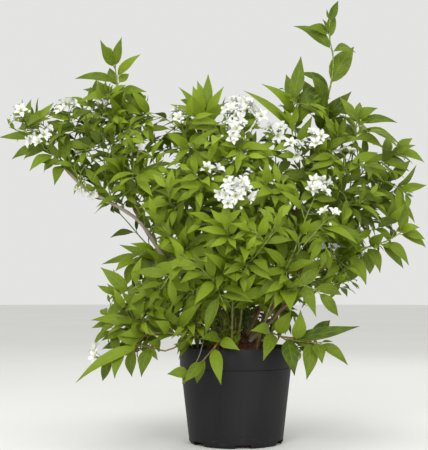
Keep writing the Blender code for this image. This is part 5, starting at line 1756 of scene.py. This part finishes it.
def tube(points: list[Vector], radii: Radii, sides: int,
         across: Vector | None = None) -> np.ndarray:
    """The points of a round tube.

    Args:
        points: The tube's course.
        radii: Its radius at each point, or at each point and side.
        sides: The sides of its section.
        across: The first section's direction.

    Returns:
        The place of each point, by ring and side.
    """
    if across is None:
        across = square_to((points[1] - points[0]).normalized())[0]
    heads, acrosses = turned_along(points, across)
    others = [ahead.cross(side) for ahead, side in zip(heads, acrosses)]
    turn = (np.arange(sides) * tau / sides)[:, None]
    spread = np.cos(turn) * np.array(acrosses)[:, None] + np.sin(turn) * np.array(others)[:, None]
    return np.array(points)[:, None] + spread * np.reshape(radii, (len(points), -1, 1))


def barked(line: Line, radii: Radii, sides: int, tone: float) -> Mesh:
    """The form of a length of wood.

    Args:
        line: Its line.
        radii: Its radii at even steps along the smooth curve.
        sides: The sides of its section.
        tone: How grey its bark is.

    Returns:
        Its mesh, good until the next call.
    """
    points = [line.smooth(n / (len(radii) - 1)) for n in range(len(radii))]
    places = tube(points, radii, sides, line.acrosses[0])
    return plain_sleeve(sides, len(radii), 0).shaped(places, tone, line.length * METRES)


def thin_points(middle: np.ndarray, half: np.ndarray, inner: float, lifts: list[np.ndarray],
                side: np.ndarray, up: np.ndarray) -> np.ndarray:
    """A leaf's or a petal's points by section: right rim, under the rib, left rim, three above."""
    across = half[:, None] * np.array([1, 0, -1, -inner, 0, inner])
    return middle[:, None] + across[..., None] * side + np.stack(lifts, 1)[..., None] * up


@dataclass
class Foliage:
    """The green shoots: smooth stems with knots, and a finer leaf for each packed one."""

    upper: Material
    under: Material
    bark: Material
    sides: int = 6
    spacing: float = 14.0
    stalk: float = 0.75
    thickness: float = 0.45
    knot: float = 1.35
    seed: int = 11
    stations: tuple[float, ...] = (0.0, 0.05, 0.13, 0.24, 0.37, 0.5, 0.63, 0.76, 0.88, 1.0)

    def __post_init__(self) -> None:
        """Shapes the leaf from which each copy is made, widest at a little over a third of it."""
        self.draw = random.Random(self.seed)
        self.leaf = Sleeve(6, len(self.stations) + 1, ((2,), (1, 1, 0)), THIN_ACROSS, (0, 2))
        s = np.array(self.stations)
        self.outline = s ** 0.75 * (1 - s) ** 1.3 / (0.366 ** 0.75 * 0.634 ** 1.3)

    def points(self, blade: Blade) -> np.ndarray:
        """The form of one leaf.

        Args:
            blade: The leaf in the plan.

        Returns:
            The place of each point, by ring and side.
        """
        draw, by_hand = self.draw, blade.form is not Form.SMALL
        reach = blade.reach - blade.drift
        length = reach.length
        axis = reach / length
        # A listed leaf turns its face to the front, as the photograph shows it
        side = axis.cross(blade.face + (0.9 if by_hand else 0.0) * FRONT).normalized()
        side, up = np.array(side), np.array(side.cross(axis))
        stalk = min((blade.bare + 2.6) / length, 0.2)
        t = np.array([0.0, *(stalk + (1 - stalk) * np.array(self.stations))])
        breadth = 1.2 if by_hand else draw.uniform(0.8, 1.0)
        least = [self.stalk] * 2 + [0.12] * (len(t) - 2)
        half = np.maximum([0.0, *(0.5 * blade.width * breadth * self.outline)], least)
        twist = (draw.uniform(-0.8, 0.8) * (0.3 if by_hand else 1.0) * (t - 0.3))[:, None]
        fold = draw.uniform(0.1, 0.34)
        sway = draw.uniform(-0.05, 0.05) * length * 4 * t * (1 - t)
        middle = np.array(blade.root + blade.drift) + t[:, None] * np.array(reach)
        middle += (4 * blade.rise * t * (1 - t))[:, None] * up + sway[:, None] * side
        level, rise = np.cos(twist) * side + np.sin(twist) * up, np.cos(twist) * up - np.sin(twist) * side
        crest, depth = np.full(len(t), 0.1), self.thickness + 0.03 * half
        crest[:2], depth[-1] = 0.5, 0.1
        right, left = [0.1 * half * np.sin(draw.uniform(0, tau) + 9 * t) + fold * half for _ in range(2)]
        lifts = [right, -depth, left, 0.62 * left + 0.6 * crest, crest, 0.62 * right + 0.6 * crest]
        return thin_points(middle, half, 0.55, lifts, level[:, None], rise[:, None])

    def tone(self, blade: Blade) -> float:
        """How bright a leaf's green is: young leaves are the brightest, and painted light lifts those at the
        shrub's heart.

        Args:
            blade: The leaf in the plan.

        Returns:
            A number from 0 to 1.
        """
        tip = blade.root + blade.reach
        # Painted light: the leaves at the shrub's heart are made brighter
        heart = max(0.0, 1 - hypot(tip.x + 20, 0.8 * (tip.z - 440)) / 230)
        young = 0.16 if blade.reach.length < 38 else 0.0
        # Painted shade darkens the tall and the low shoot on the right, and painted light lifts the leaves on
        # the soil under the crown
        painted_shade_right = 0.3 if tip.x > 85 and not 220 < tip.z < 580 else 0.0
        low = 0.3 if tip.xy.length < 90 and tip.z < 270 else 0.0
        tone = 0.16 + 0.42 * heart + young + low - painted_shade_right + self.draw.uniform(0, 0.42)
        return min(max(tone, 0.0), 1.0)

    def rod(self, rod: Rod, slot: int = 2) -> Mesh:
        """The form of one stem.

        Args:
            rod: The stem in the plan.
            slot: Its material slot.

        Returns:
            The stem's mesh, good until the next call.
        """
        line = rod.line
        count = max(3, ceil(line.length / self.spacing))
        wanted = [(n / count, 1.0) for n in range(count)]
        step = 2.2 / line.length
        for knot in {round(knot, 3) for knot in rod.knots}:
            wanted += [(knot - step, 1.0), (knot, self.knot), (knot + step, 1.0)]
        wanted = sorted((share, swell) for share, swell in wanted if 0 <= share < 1 - 0.5 * step)
        kept = wanted[:1]
        for share, swell in wanted[1:]:
            if (share - kept[-1][0]) * line.length > 1.0:
                kept.append((share, swell))
        kept += [(1.0, 0.9), (1.0, 0.4)]
        points = [line.smooth(share) for share, _ in kept]
        points[-1] = points[-1] + 0.5 * line.at(1)[1]
        radii = [rod.radius(share) * swell for share, swell in kept]
        places = tube(points, radii, self.sides, line.acrosses[0])
        return plain_sleeve(self.sides, len(kept), slot).shaped(places, 0.5, line.length * METRES)

    def build(self, name: str, shoot: Shoot) -> None:
        """Builds one shoot's piece, which replaces the node of its name where there is one.

        Args:
            name: The shoot's name.
            shoot: The shoot in the plan.
        """
        piece = Gathered(f"{name}_leafy", [self.upper, self.under, self.bark])
        for rod in shoot.rods:
            piece.add(self.rod(rod))
        for blade in shoot.blades:
            piece.add(self.leaf.shaped(self.points(blade), self.tone(blade)))
        piece.done("leaves", name if name in frame["nodes"] else None)


@dataclass
class Blossom:
    """The heads of flowers: cupped petals, stamens, a green calyx and a stalk for each flower."""

    petal: Material
    anther: Material
    calyx: Material
    foliage: Foliage
    stamens: int = 8
    seed: int = 5
    # A petal's stations, as shares of its length, and its width at each
    stations: tuple[float, ...] = (0.06, 0.22, 0.42, 0.62, 0.8, 0.93, 1.0)
    widths: tuple[float, ...] = (0.3, 0.8, 1.0, 0.88, 0.58, 0.28, 0.05)
    # The radii from the foot on, and how far before the tip they stand
    stalk_radii: tuple[float, ...] = (0.5, 0.45, 0.55, 1.3, 1.9, 1.9, 0.9)
    stamen_radii: tuple[float, ...] = (0.35, 0.25, 0.36, 0.5, 0.36, 0.15)
    stamen_marks: tuple[float, ...] = (1.2, 1.0, 0.6, 0.1, 0.0)
    bud_radii: tuple[float, ...] = (0.45, 0.45, 0.9, 1.55, 2.15, 2.5, 1.7, 0.8, 0.2)
    bud_marks: tuple[float, ...] = (7.4, 7.2, 5.4, 4.2, 2.9, 1.4, 0.4, 0.0)

    def __post_init__(self) -> None:
        """Shapes the petal, the stamen, the stalk and the bud from which each copy is made."""
        self.draw = random.Random(self.seed)
        self.leaf = Sleeve(6, 7, ((0,),), THIN_ACROSS, (0, 2))
        self.stamen = Sleeve(4, 6, ((0,), (0,), (1,)))
        self.stalk = Sleeve(6, 7, ((2,),))
        self.bud = Sleeve(7, 9, ((2,), (2,), (2,), (0,)))

    def petal_points(self, flower: Floret, number: int, opening: float) -> np.ndarray:
        """The form of one petal.

        Args:
            flower: The flower in the plan.
            number: The petal's number.
            opening: How steeply its petals rise, as a share of their length.

        Returns:
            The place of each point, by ring and side.
        """
        draw, up = self.draw, np.array(flower.facing)
        angle = flower.turn + radians(72 * number) + draw.uniform(-0.16, 0.16)
        spread = np.array(spread_at(angle, *square_to(flower.facing)))
        side = np.cross(spread, up)
        radius = flower.radius * draw.uniform(1.25, 1.55)
        t = np.array(self.stations)
        half = radius * draw.uniform(0.21, 0.28) * np.array(self.widths)
        # A petal rises from the cup and then spreads, more or less open from flower to flower
        rise = opening + draw.uniform(-0.08, 0.08)
        lift = radius * rise * (1.5 * t - 0.75 * t ** 3)
        reach = radius * (1 - 0.35 * rise) * t
        middle = np.array(flower.centre) + reach[:, None] * spread + lift[:, None] * up
        middle += (draw.uniform(-0.1, 0.1) * radius * t ** 2)[:, None] * side
        cup, flat = draw.uniform(0.2, 0.6) * half, np.ones(len(t))
        lifts = [cup, -0.3 * flat, cup, 0.3 * cup + 0.12, 0.1 * flat, 0.3 * cup + 0.12]
        return thin_points(middle, half, 0.5, lifts, side, up)

    def open_flower(self, piece: Gathered, flower: Floret) -> None:
        """Adds an open flower.

        Args:
            piece: The head's piece.
            flower: The flower in the plan.
        """
        draw, centre = self.draw, flower.centre
        tilt = Vector([draw.uniform(-0.7, 0.7) for _ in range(3)])
        flower = replace(flower, facing=(flower.facing + tilt).normalized())
        facing, neck = flower.facing, flower.neck()
        opening = draw.uniform(0.2, 1.0)
        for number in range(PETALS):
            piece.add(self.leaf.shaped(self.petal_points(flower, number, opening)))
        way = (neck - flower.foot) * 0.5
        bend = flower.foot + way + 0.12 * way.length * UP
        course = [flower.foot, bend, neck - 1.0 * facing, neck]
        course += [centre + step * facing for step in (-0.9, -0.2, 0.4)]
        piece.add(self.stalk.shaped(tube(course, self.stalk_radii, 6)))
        for n in range(self.stamens):
            angle = tau * n / self.stamens + draw.uniform(-0.2, 0.2)
            spread = spread_at(angle, *square_to(facing))
            foot = centre + 0.9 * spread
            top = centre + draw.uniform(0.12, 0.2) * flower.radius * spread
            top += draw.uniform(0.34, 0.46) * flower.radius * facing
            ahead = (top - foot).normalized()
            course = [foot, *(top - mark * ahead for mark in self.stamen_marks)]
            piece.add(self.stamen.shaped(tube(course, self.stamen_radii, 4)))

    def closed_bud(self, piece: Gathered, bud: Bud) -> None:
        """Adds a closed bud.

        Args:
            piece: The head's piece.
            bud: The bud in the plan.
        """
        ahead = (bud.tip - bud.foot).normalized()
        course = [bud.foot, *(bud.tip - mark * ahead for mark in self.bud_marks)]
        if (course[1] - bud.foot).dot(ahead) < 0.5:
            course = [bud.tip + (point - bud.tip) * 0.6 for point in course]
            course[0] = bud.foot - ahead
        piece.add(self.bud.shaped(tube(course, self.bud_radii, 7)))

    def between(self, flowers: list[Floret]) -> list[Floret]:
        """The further flowers that make a large head dense, each between two others and behind them.

        Args:
            flowers: The head's flowers in the plan.

        Returns:
            The flowers between them.
        """
        more = []
        for one, other in itertools.combinations(flowers, 2):
            middle = 0.5 * (one.centre + other.centre) - 2.5 * one.facing
            gap = min((middle - flower.centre).length for flower in flowers + more)
            if (one.centre - other.centre).length < 30 and gap > 8.5:
                foot, facing = 0.5 * (one.foot + other.foot), (one.facing + other.facing).normalized()
                turn = self.draw.uniform(0, 1.2)
                more.append(replace(one, centre=middle, foot=foot, facing=facing, turn=turn))
        return more[:len(flowers)] if len(flowers) > 3 else []

    def build(self, name: str, shoot: Shoot) -> None:
        """Builds the piece that replaces one head's node.

        Args:
            name: The node's name.
            shoot: The head in the plan.
        """
        piece = Gathered(f"{name}_blossom", [self.petal, self.anther, self.calyx, self.foliage.bark])
        for rod in shoot.rods:
            piece.add(self.foliage.rod(rod, 3))
        for flower in shoot.florets + self.between(shoot.florets):
            self.open_flower(piece, flower)
        for bud in shoot.buds:
            self.closed_bud(piece, bud)
        piece.done("petals", name)


@dataclass
class Wood:
    """The woody canes and the knot of wood that they rise from."""

    bark: Material
    sides: int = 10
    spacing: float = 7.0
    lumps: float = 0.14
    crown_sides: int = 12
    crown: Section = ((10.0, -17.0), (18, -14), (20, -4), (19, 8), (16, 15), (11, 19), (4, 20))

    def radii(self, rod: Rod, number: int) -> np.ndarray:
        """The lumpy radii of a cane, which swells at its old joints.

        Args:
            rod: The cane in the plan.
            number: Its number, which tells its lumps apart.

        Returns:
            The radii, by ring and side.
        """
        count = ceil(rod.line.length / self.spacing)
        radii = np.zeros((count + 1, self.sides))
        for n, k in itertools.product(range(count + 1), range(self.sides)):
            reach = n / count * rod.line.length
            knot = 1 + 0.22 * max(0.0, 1 - abs((reach + 13) % 46 - 23) / 4)
            spot = Vector((reach / 16, 1.7 * cos(k), 10 * number + 1.7 * sin(k)))
            radii[n, k] = rod.radius(n / count) * knot * (1 + self.lumps * noise.noise(spot))
        radii[-1] *= 0.6
        return radii

    def build(self, shoot: Shoot) -> None:
        """Builds the canes' piece.

        Args:
            shoot: The canes in the plan.
        """
        piece = Gathered("canes_barked", [self.bark])
        for number, rod in enumerate(shoot.rods):
            # The low branch on the left is the oldest, weathered grey
            piece.add(barked(rod.line, self.radii(rod, number), self.sides, 0.1 if number else 0.75))
        course = [Vector((0, 0, SOIL_LEVEL + height)) for _, height in self.crown]
        sides = itertools.product(enumerate(self.crown), range(self.crown_sides))
        radii = [radius * (1 + 0.12 * noise.noise(Vector((cos(k) * 2, sin(k) * 2, n * 0.6))))
                 for (n, (radius, _)), k in sides]
        places = tube(course, radii, self.crown_sides)
        piece.add(plain_sleeve(self.crown_sides, len(course), 0).shaped(places, 0.1, 0.04))
        piece.done("bark", "woody_canes")


@dataclass
class CrownShoots:
    """The thicket of thin young stems, stubs and small leaves that stands on the soil."""

    foliage: Foliage
    growth: Growth
    number: int = 420
    spread: float = 52.0
    behind: float = 8.0
    furthest: float = 74.0
    depth: float = 6.0
    heights: tuple[float, float] = (26.0, 96.0)
    radii: tuple[float, float] = (0.5, 1.1)
    tip: float = 0.55
    leaf: tuple[float, float] = (8.0, 22.0)
    seed: int = 23

    def build(self) -> None:
        """Builds the shoots' piece."""
        draw, space = random.Random(self.seed), self.growth.space
        shoot = Shoot()
        for _ in range(self.number):
            angle, radius = draw.uniform(0, tau), self.spread * draw.random() ** 0.7
            foot = Vector((radius * cos(angle), self.behind + radius * sin(angle), 0))
            # The soil lies open in front of them, right of the middle
            if abs(foot.x - 24) < 24 and foot.y < 4 or foot.length > self.furthest:
                continue
            foot.z = soil_height(foot.length) - self.depth
            height = draw.uniform(*self.heights) * (1 - 0.006 * radius)
            lean = 0.006 * radius * outward(foot) if radius > 3 else Vector()
            way = (UP + lean + Vector((draw.uniform(-0.16, 0.16), draw.uniform(-0.16, 0.16), 0))).normalized()
            middle = foot + 0.5 * height * way + Vector((draw.uniform(-2, 2), draw.uniform(-2, 2), 0))
            line = Line([foot, middle, foot + height * way])
            rod = Rod(line, draw.uniform(*self.radii), self.tip + 0.05)
            if not self.growth.has_room(rod, self.depth + 4, 0.5 * AIR):
                continue
            space.add(rod.solid(), "crown_shoots")
            shoot.rods.append(replace(rod, tip=self.tip))
            for _ in range(draw.randint(0, 8)):
                share = draw.uniform(0.3, 1.0)
                point, ahead = line.at(share)
                turn = draw.uniform(0, tau)
                length = draw.uniform(*self.leaf)
                aim = (0.7 * ahead + 0.8 * Vector((cos(turn), sin(turn), 0))).normalized()
                blade = Blade(point, aim * length, 0.34 * length, 1.2, UP + 0.4 * FRONT, Form.SMALL,
                              line.drift(share))
                if space.is_free(blade.solid(0.2, 0.2), "crown_shoots"):
                    shoot.blades.append(blade)
        self.foliage.build("crown_shoots", shoot)


@dataclass
class DryTwigs:
    """The thin bare twigs that died back: a grey tangle at the lower left, and one over the pot's wall."""

    bark: Material
    growth: Growth
    foot: float = 1.0
    tip: float = 0.35
    spacing: float = 7.0
    joint: float = 8.0
    shifts: tuple[int, ...] = (0, -7, 7, -14, 14)
    twigs: tuple[tuple[str, float, tuple[Point, ...]], ...] = (
        ("lower_left_cane", 0.62, ((-60, -112, 152), (-72, -118, 130), (-84, -120, 108))),
        ("lower_left_rise", 0.3, ((-146, -108, 210), (-166, -96, 206), (-188, -100, 214), (-206, -94, 208))),
        ("lower_left_rise", 0.4, ((-150, -100, 196), (-170, -98, 186), (-184, -88, 190), (-198, -92, 180))),
        ("lower_left_rise", 0.14, ((-128, -104, 206), (-142, -98, 222), (-162, -92, 226), (-172, -96, 238))),
        ("left_cane", 0.5, ((-110, -10, 330), (-128, -34, 352), (-134, -44, 380))),
        ("left_cane", 0.9, ((-170, 0, 520), (-150, -10, 560), (-136, -14, 586))),
    )

    def build(self) -> None:
        """Builds the twigs' piece, each twig moved forwards or back until it has room."""
        piece = Gathered("dry_twigs_barked", [self.bark])
        for name, share, course in self.twigs:
            root = self.growth.rods[name].line.at(share)[0]
            for shift in self.shifts:
                line = Line([root] + [Vector(point) - shift * FRONT for point in course])
                rod = Rod(line, self.foot, self.tip + 0.05)
                if self.growth.has_room(rod, self.joint, 0.5 * AIR):
                    self.growth.space.add(rod.solid(), "dry_twigs")
                    radii = np.linspace(self.foot, self.tip, ceil(line.length / self.spacing) + 1)
                    piece.add(barked(line, radii, 5, 0.9))
                    break
        piece.done("bark")


def spun(profile: Section, segments: int) -> BMesh:
    """Spins a section round Z.

    Args:
        profile: The radii and heights of its points, in millimetres.
        segments: The number of steps in a turn.

    Returns:
        The closed shape, in metres.
    """
    shape = bmesh.new()
    verts = [shape.verts.new((radius * METRES, 0, height * METRES)) for radius, height in profile]
    edges = [shape.edges.new(pair) for pair in zip(verts, verts[1:])]
    bmesh.ops.spin(shape, geom=verts + edges, cent=(0, 0, 0), axis=(0, 0, 1), angle=tau,
                   steps=segments, use_merge=True)
    bmesh.ops.remove_doubles(shape, verts=shape.verts[:], dist=1e-6)
    bmesh.ops.recalc_face_normals(shape, faces=shape.faces[:])
    return shape


@dataclass
class Soil:
    """The potting soil: a mounded, crumbly surface over the body that fills the pot."""

    finish: Material
    segments: int = 72
    roughness: float = 3.2
    crumbs: int = 260
    crumb: tuple[float, float] = (0.8, 3.2)
    spread: float = 86.0
    seed: int = 3

    def build(self) -> None:
        """Builds the soil's piece."""
        gap, low = CLEARANCE + 0.25, FLOOR_TOP + CLEARANCE
        inner = RIM_RADIUS - POT_WALL - 0.8 - gap
        profile = [(0, low), (BASE_RADIUS - POT_WALL - gap - 1.6, low),
                   (COLLAR_FOOT_RADIUS - POT_WALL - 0.9 - gap, 124)]
        profile += [(radius, soil_height(radius)) for radius in (inner, *range(86, 2, -5), 0)]
        shape = spun(profile, self.segments)
        for vert in shape.verts:
            if vert.co.z > 0.13 and vert.co.xy.length / METRES < inner - 1:
                coarse = noise.noise(vert.co * 60) + 0.6 * noise.noise(vert.co * 150)
                vert.co.z += self.roughness * METRES * coarse
        draw = random.Random(self.seed)
        for _ in range(self.crumbs):
            radius, angle = self.spread * draw.random() ** 0.6, draw.uniform(0, tau)
            x, y, size = radius * cos(angle), radius * sin(angle), draw.uniform(*self.crumb)
            spot = Vector((x, y, soil_height(radius) + 0.2 * size))
            turn = Matrix.Rotation(draw.uniform(0, tau), 4, Vector((draw.random(), draw.random(), 0.3)))
            matrix = Matrix.Translation(spot * METRES) @ turn @ Matrix.Diagonal((1.3, 1, 0.7, 1))
            bmesh.ops.create_icosphere(shape, subdivisions=1, radius=size * METRES, matrix=matrix)
        for face in shape.faces:
            face.smooth = True
        placed("soil_crumbly", frozen(shape, "soil_crumbly"), [self.finish], "soil", "soil")


@dataclass
class Pot:
    """The nursery pot: a thin moulded shell with a collar, a foot and drain notches."""

    finish: Material
    segments: int = 128
    notches: int = 6
    notch_width: float = 26.0
    notch_height: float = 7.0
    notch_depth: float = 20.0
    notch_corner: float = 2.2
    first_notch: float = radians(-83)

    def profile(self) -> Section:
        """The section of the wall, from the underside's middle round to the floor's middle.

        Returns:
            Its radii and heights.
        """
        rest, foot, base, rim, top = REST_RADIUS, FOOT_RADIUS, BASE_RADIUS, RIM_RADIUS, RIM_HEIGHT
        collar, height, inner = COLLAR_FOOT_RADIUS, COLLAR_FOOT_HEIGHT, RIM_RADIUS - POT_WALL
        return (
            (0, 0), (rest, 0), (rest + 0.8, 0.5), (rest + 2.5, 3.0), (foot - 6.5, 3.0), (foot - 5.3, 0.4),
            (foot - 4.6, 0), (foot, 0), (foot + 0.9, 0.3), (base - 1.2, 2.7), (base - 0.5, 3.8), (base, 10),
            (collar - 0.1, height - 2.2), (collar - 0.7, height - 1.4), (collar - 0.6, height - 0.6),
            (rim - 0.9, height - 0.4), (rim - 0.5, height + 0.4), (rim, top - 1.4), (rim - 0.2, top - 0.5),
            (rim - 0.8, top), (inner + 0.3, top - 0.2), (inner, top - 0.8), (inner - 0.8, height + 1.0),
            (collar - POT_WALL - 0.9, height - 3), (base - POT_WALL - 0.2, FLOOR_TOP + 3),
            (base - POT_WALL - 2.6, FLOOR_TOP), (0, FLOOR_TOP),
        )

    def notch(self, shape: BMesh, turn: float) -> None:
        """Adds the block that cuts one drain notch.

        Args:
            shape: The mesh that gathers the blocks.
            turn: Its direction from the pot's axis, in radians.
        """
        others = set(shape.verts)
        made = bmesh.ops.create_cube(shape, size=1.0)["verts"]
        size = Vector((self.notch_depth, self.notch_width, 2 * self.notch_height)) * METRES
        bmesh.ops.scale(shape, vec=size, verts=made)
        upright = [edge for edge in {e for vert in made for e in vert.link_edges}
                   if abs(edge.verts[0].co.x - edge.verts[1].co.x) > 0.01]
        bmesh.ops.bevel(shape, geom=upright, offset=self.notch_corner * METRES, segments=3, profile=0.5,
                        affect="EDGES", material=-1)
        block = [vert for vert in shape.verts if vert not in others]
        bmesh.ops.translate(shape, vec=((BASE_RADIUS - 0.5) * METRES, 0, 0), verts=block)
        bmesh.ops.rotate(shape, cent=(0, 0, 0), matrix=Matrix.Rotation(turn, 3, "Z"), verts=block)

    def build(self) -> None:
        """Builds the pot's piece."""
        cutter = bmesh.new()
        for n in range(self.notches):
            self.notch(cutter, self.first_notch + tau * n / self.notches)
        pot = linked("pot_uncut", frozen(spun(self.profile(), self.segments), "pot_uncut"))
        blocks = linked("notch_blocks", frozen(cutter, "notch_blocks"))
        cut = pot.modifiers.new("notches", "BOOLEAN")
        cut.object, cut.operation, cut.solver = blocks, "DIFFERENCE", "MANIFOLD"
        evaluated = pot.evaluated_get(bpy.context.evaluated_depsgraph_get())
        mesh = bpy.data.meshes.new_from_object(evaluated)
        for thing in (pot, blocks):
            bpy.data.objects.remove(thing)
        mesh.materials.clear()
        mesh.shade_smooth()
        mesh.set_sharp_from_angle(angle=radians(28))
        placed("pot_moulded", mesh, [self.finish], "pot", "pot")


@dataclass
class Studio:
    """A pale floor, soft lights and the camera at the photograph's angle."""

    paper: Material
    target: Point = (-0.037, 0.0, 0.365)
    lens: float = 80.0
    floor_radius: float = 14.0
    world: str = "#F1F1EF"
    world_strength: float = 0.88
    # Square soft lights: place, length of a side and watts
    lights: tuple[tuple[str, Point, float, float], ...] = (
        ("key", (-0.5, -1.9, 1.3), 1.0, 24), ("fill", (0.9, -1.8, 0.8), 1.1, 11),
        ("top", (0.0, -0.3, 2.0), 1.2, 8), ("back", (0.6, 1.6, 1.4), 1.2, 5),
    )

    def aim(self, thing: Object, at: Point, target: Point = (0, 0, 0.4)) -> None:
        """Places a light or a camera and turns its -Z to a target, the shrub's middle for a light."""
        thing.location = at
        thing.rotation_euler = (Vector(target) - Vector(at)).to_track_quat("-Z", "Y").to_euler()

    def build(self) -> None:
        """Builds the floor, the lights, the surroundings and the camera."""
        shape = bmesh.new()
        bmesh.ops.create_circle(shape, cap_ends=True, segments=64, radius=self.floor_radius,
                                matrix=Matrix.Translation((0, 0, -0.0004)))
        floor = linked("floor", frozen(shape, "floor"))
        floor.data.materials.append(self.paper)
        for name, at, size, watts in self.lights:
            lamp = bpy.data.lights.new(name, "AREA")
            lamp.size, lamp.energy = size, watts
            self.aim(linked(name, lamp), at)
        scene, world = bpy.context.scene, bpy.data.worlds.new("studio")
        world.use_nodes = True
        backdrop = world.node_tree.nodes["Background"]
        backdrop.inputs["Color"].default_value = linear(self.world)
        backdrop.inputs["Strength"].default_value = self.world_strength
        scene.world = world
        scene.view_settings.view_transform = "Standard"
        lens = bpy.data.cameras.new("camera")
        lens.lens, lens.sensor_width = self.lens, 36
        scene.camera = linked("camera", lens)
        self.aim(scene.camera, CAMERA * METRES, self.target)


def main() -> None:
    """Grows the plant, builds each piece and sets the studio."""
    logging.basicConfig(level=logging.INFO, format="%(message)s")
    growth = Growth()
    growth.grow()
    Thicket(growth).fill()
    upper = LeafFace("leaf_upper_face", 0.52, 1.42, 0.1, 0.2, -0.25).make()
    under = LeafFace("leaf_under_face", 0.7, 1.4, 0.1, 0.1, 0.3, shade="#4B5E20", light="#74893A",
                     vein="#93A25C", vein_share=0.3).make()
    green = GreenStem("young_green_stem", 0.55, subsurface=0.05, depth_mm=0.2).make()
    bark = PeelingBark("peeling_bark", 0.82, depth_mm=0.5).make()
    petal = PetalSkin("white_petal", 0.5, 1.4, 0.15, depth_mm=0.12).make()
    anther = Speckled("yellow_anther", 0.7).make()
    calyx = Speckled("grey_green_calyx", 0.7, first="#8DA05A", second="#6E8442").make()
    plastic = MouldedPlastic("black_polypropylene", 0.55, 1.49, gloss=0.2, depth_mm=0.05, strength=0.5).make()
    paper = Speckled("studio_paper", 0.9, first="#E4E4E1", second="#E8E8E5", size_mm=700).make()
    Pot(plastic).build()
    Soil(PottingSoil("moist_potting_soil", 0.95, depth_mm=1.2).make()).build()
    Wood(bark).build(growth.shoots["woody_canes"])
    foliage = Foliage(upper, under, green)
    blossom = Blossom(petal, anther, calyx, foliage)
    for name, shoot in growth.shoots.items():
        if name != "woody_canes":
            (blossom if name.startswith("flowers") else foliage).build(name, shoot)
    CrownShoots(foliage, growth).build()
    DryTwigs(bark, growth).build()
    Studio(paper).build()


if __name__ == "__main__":
    main()
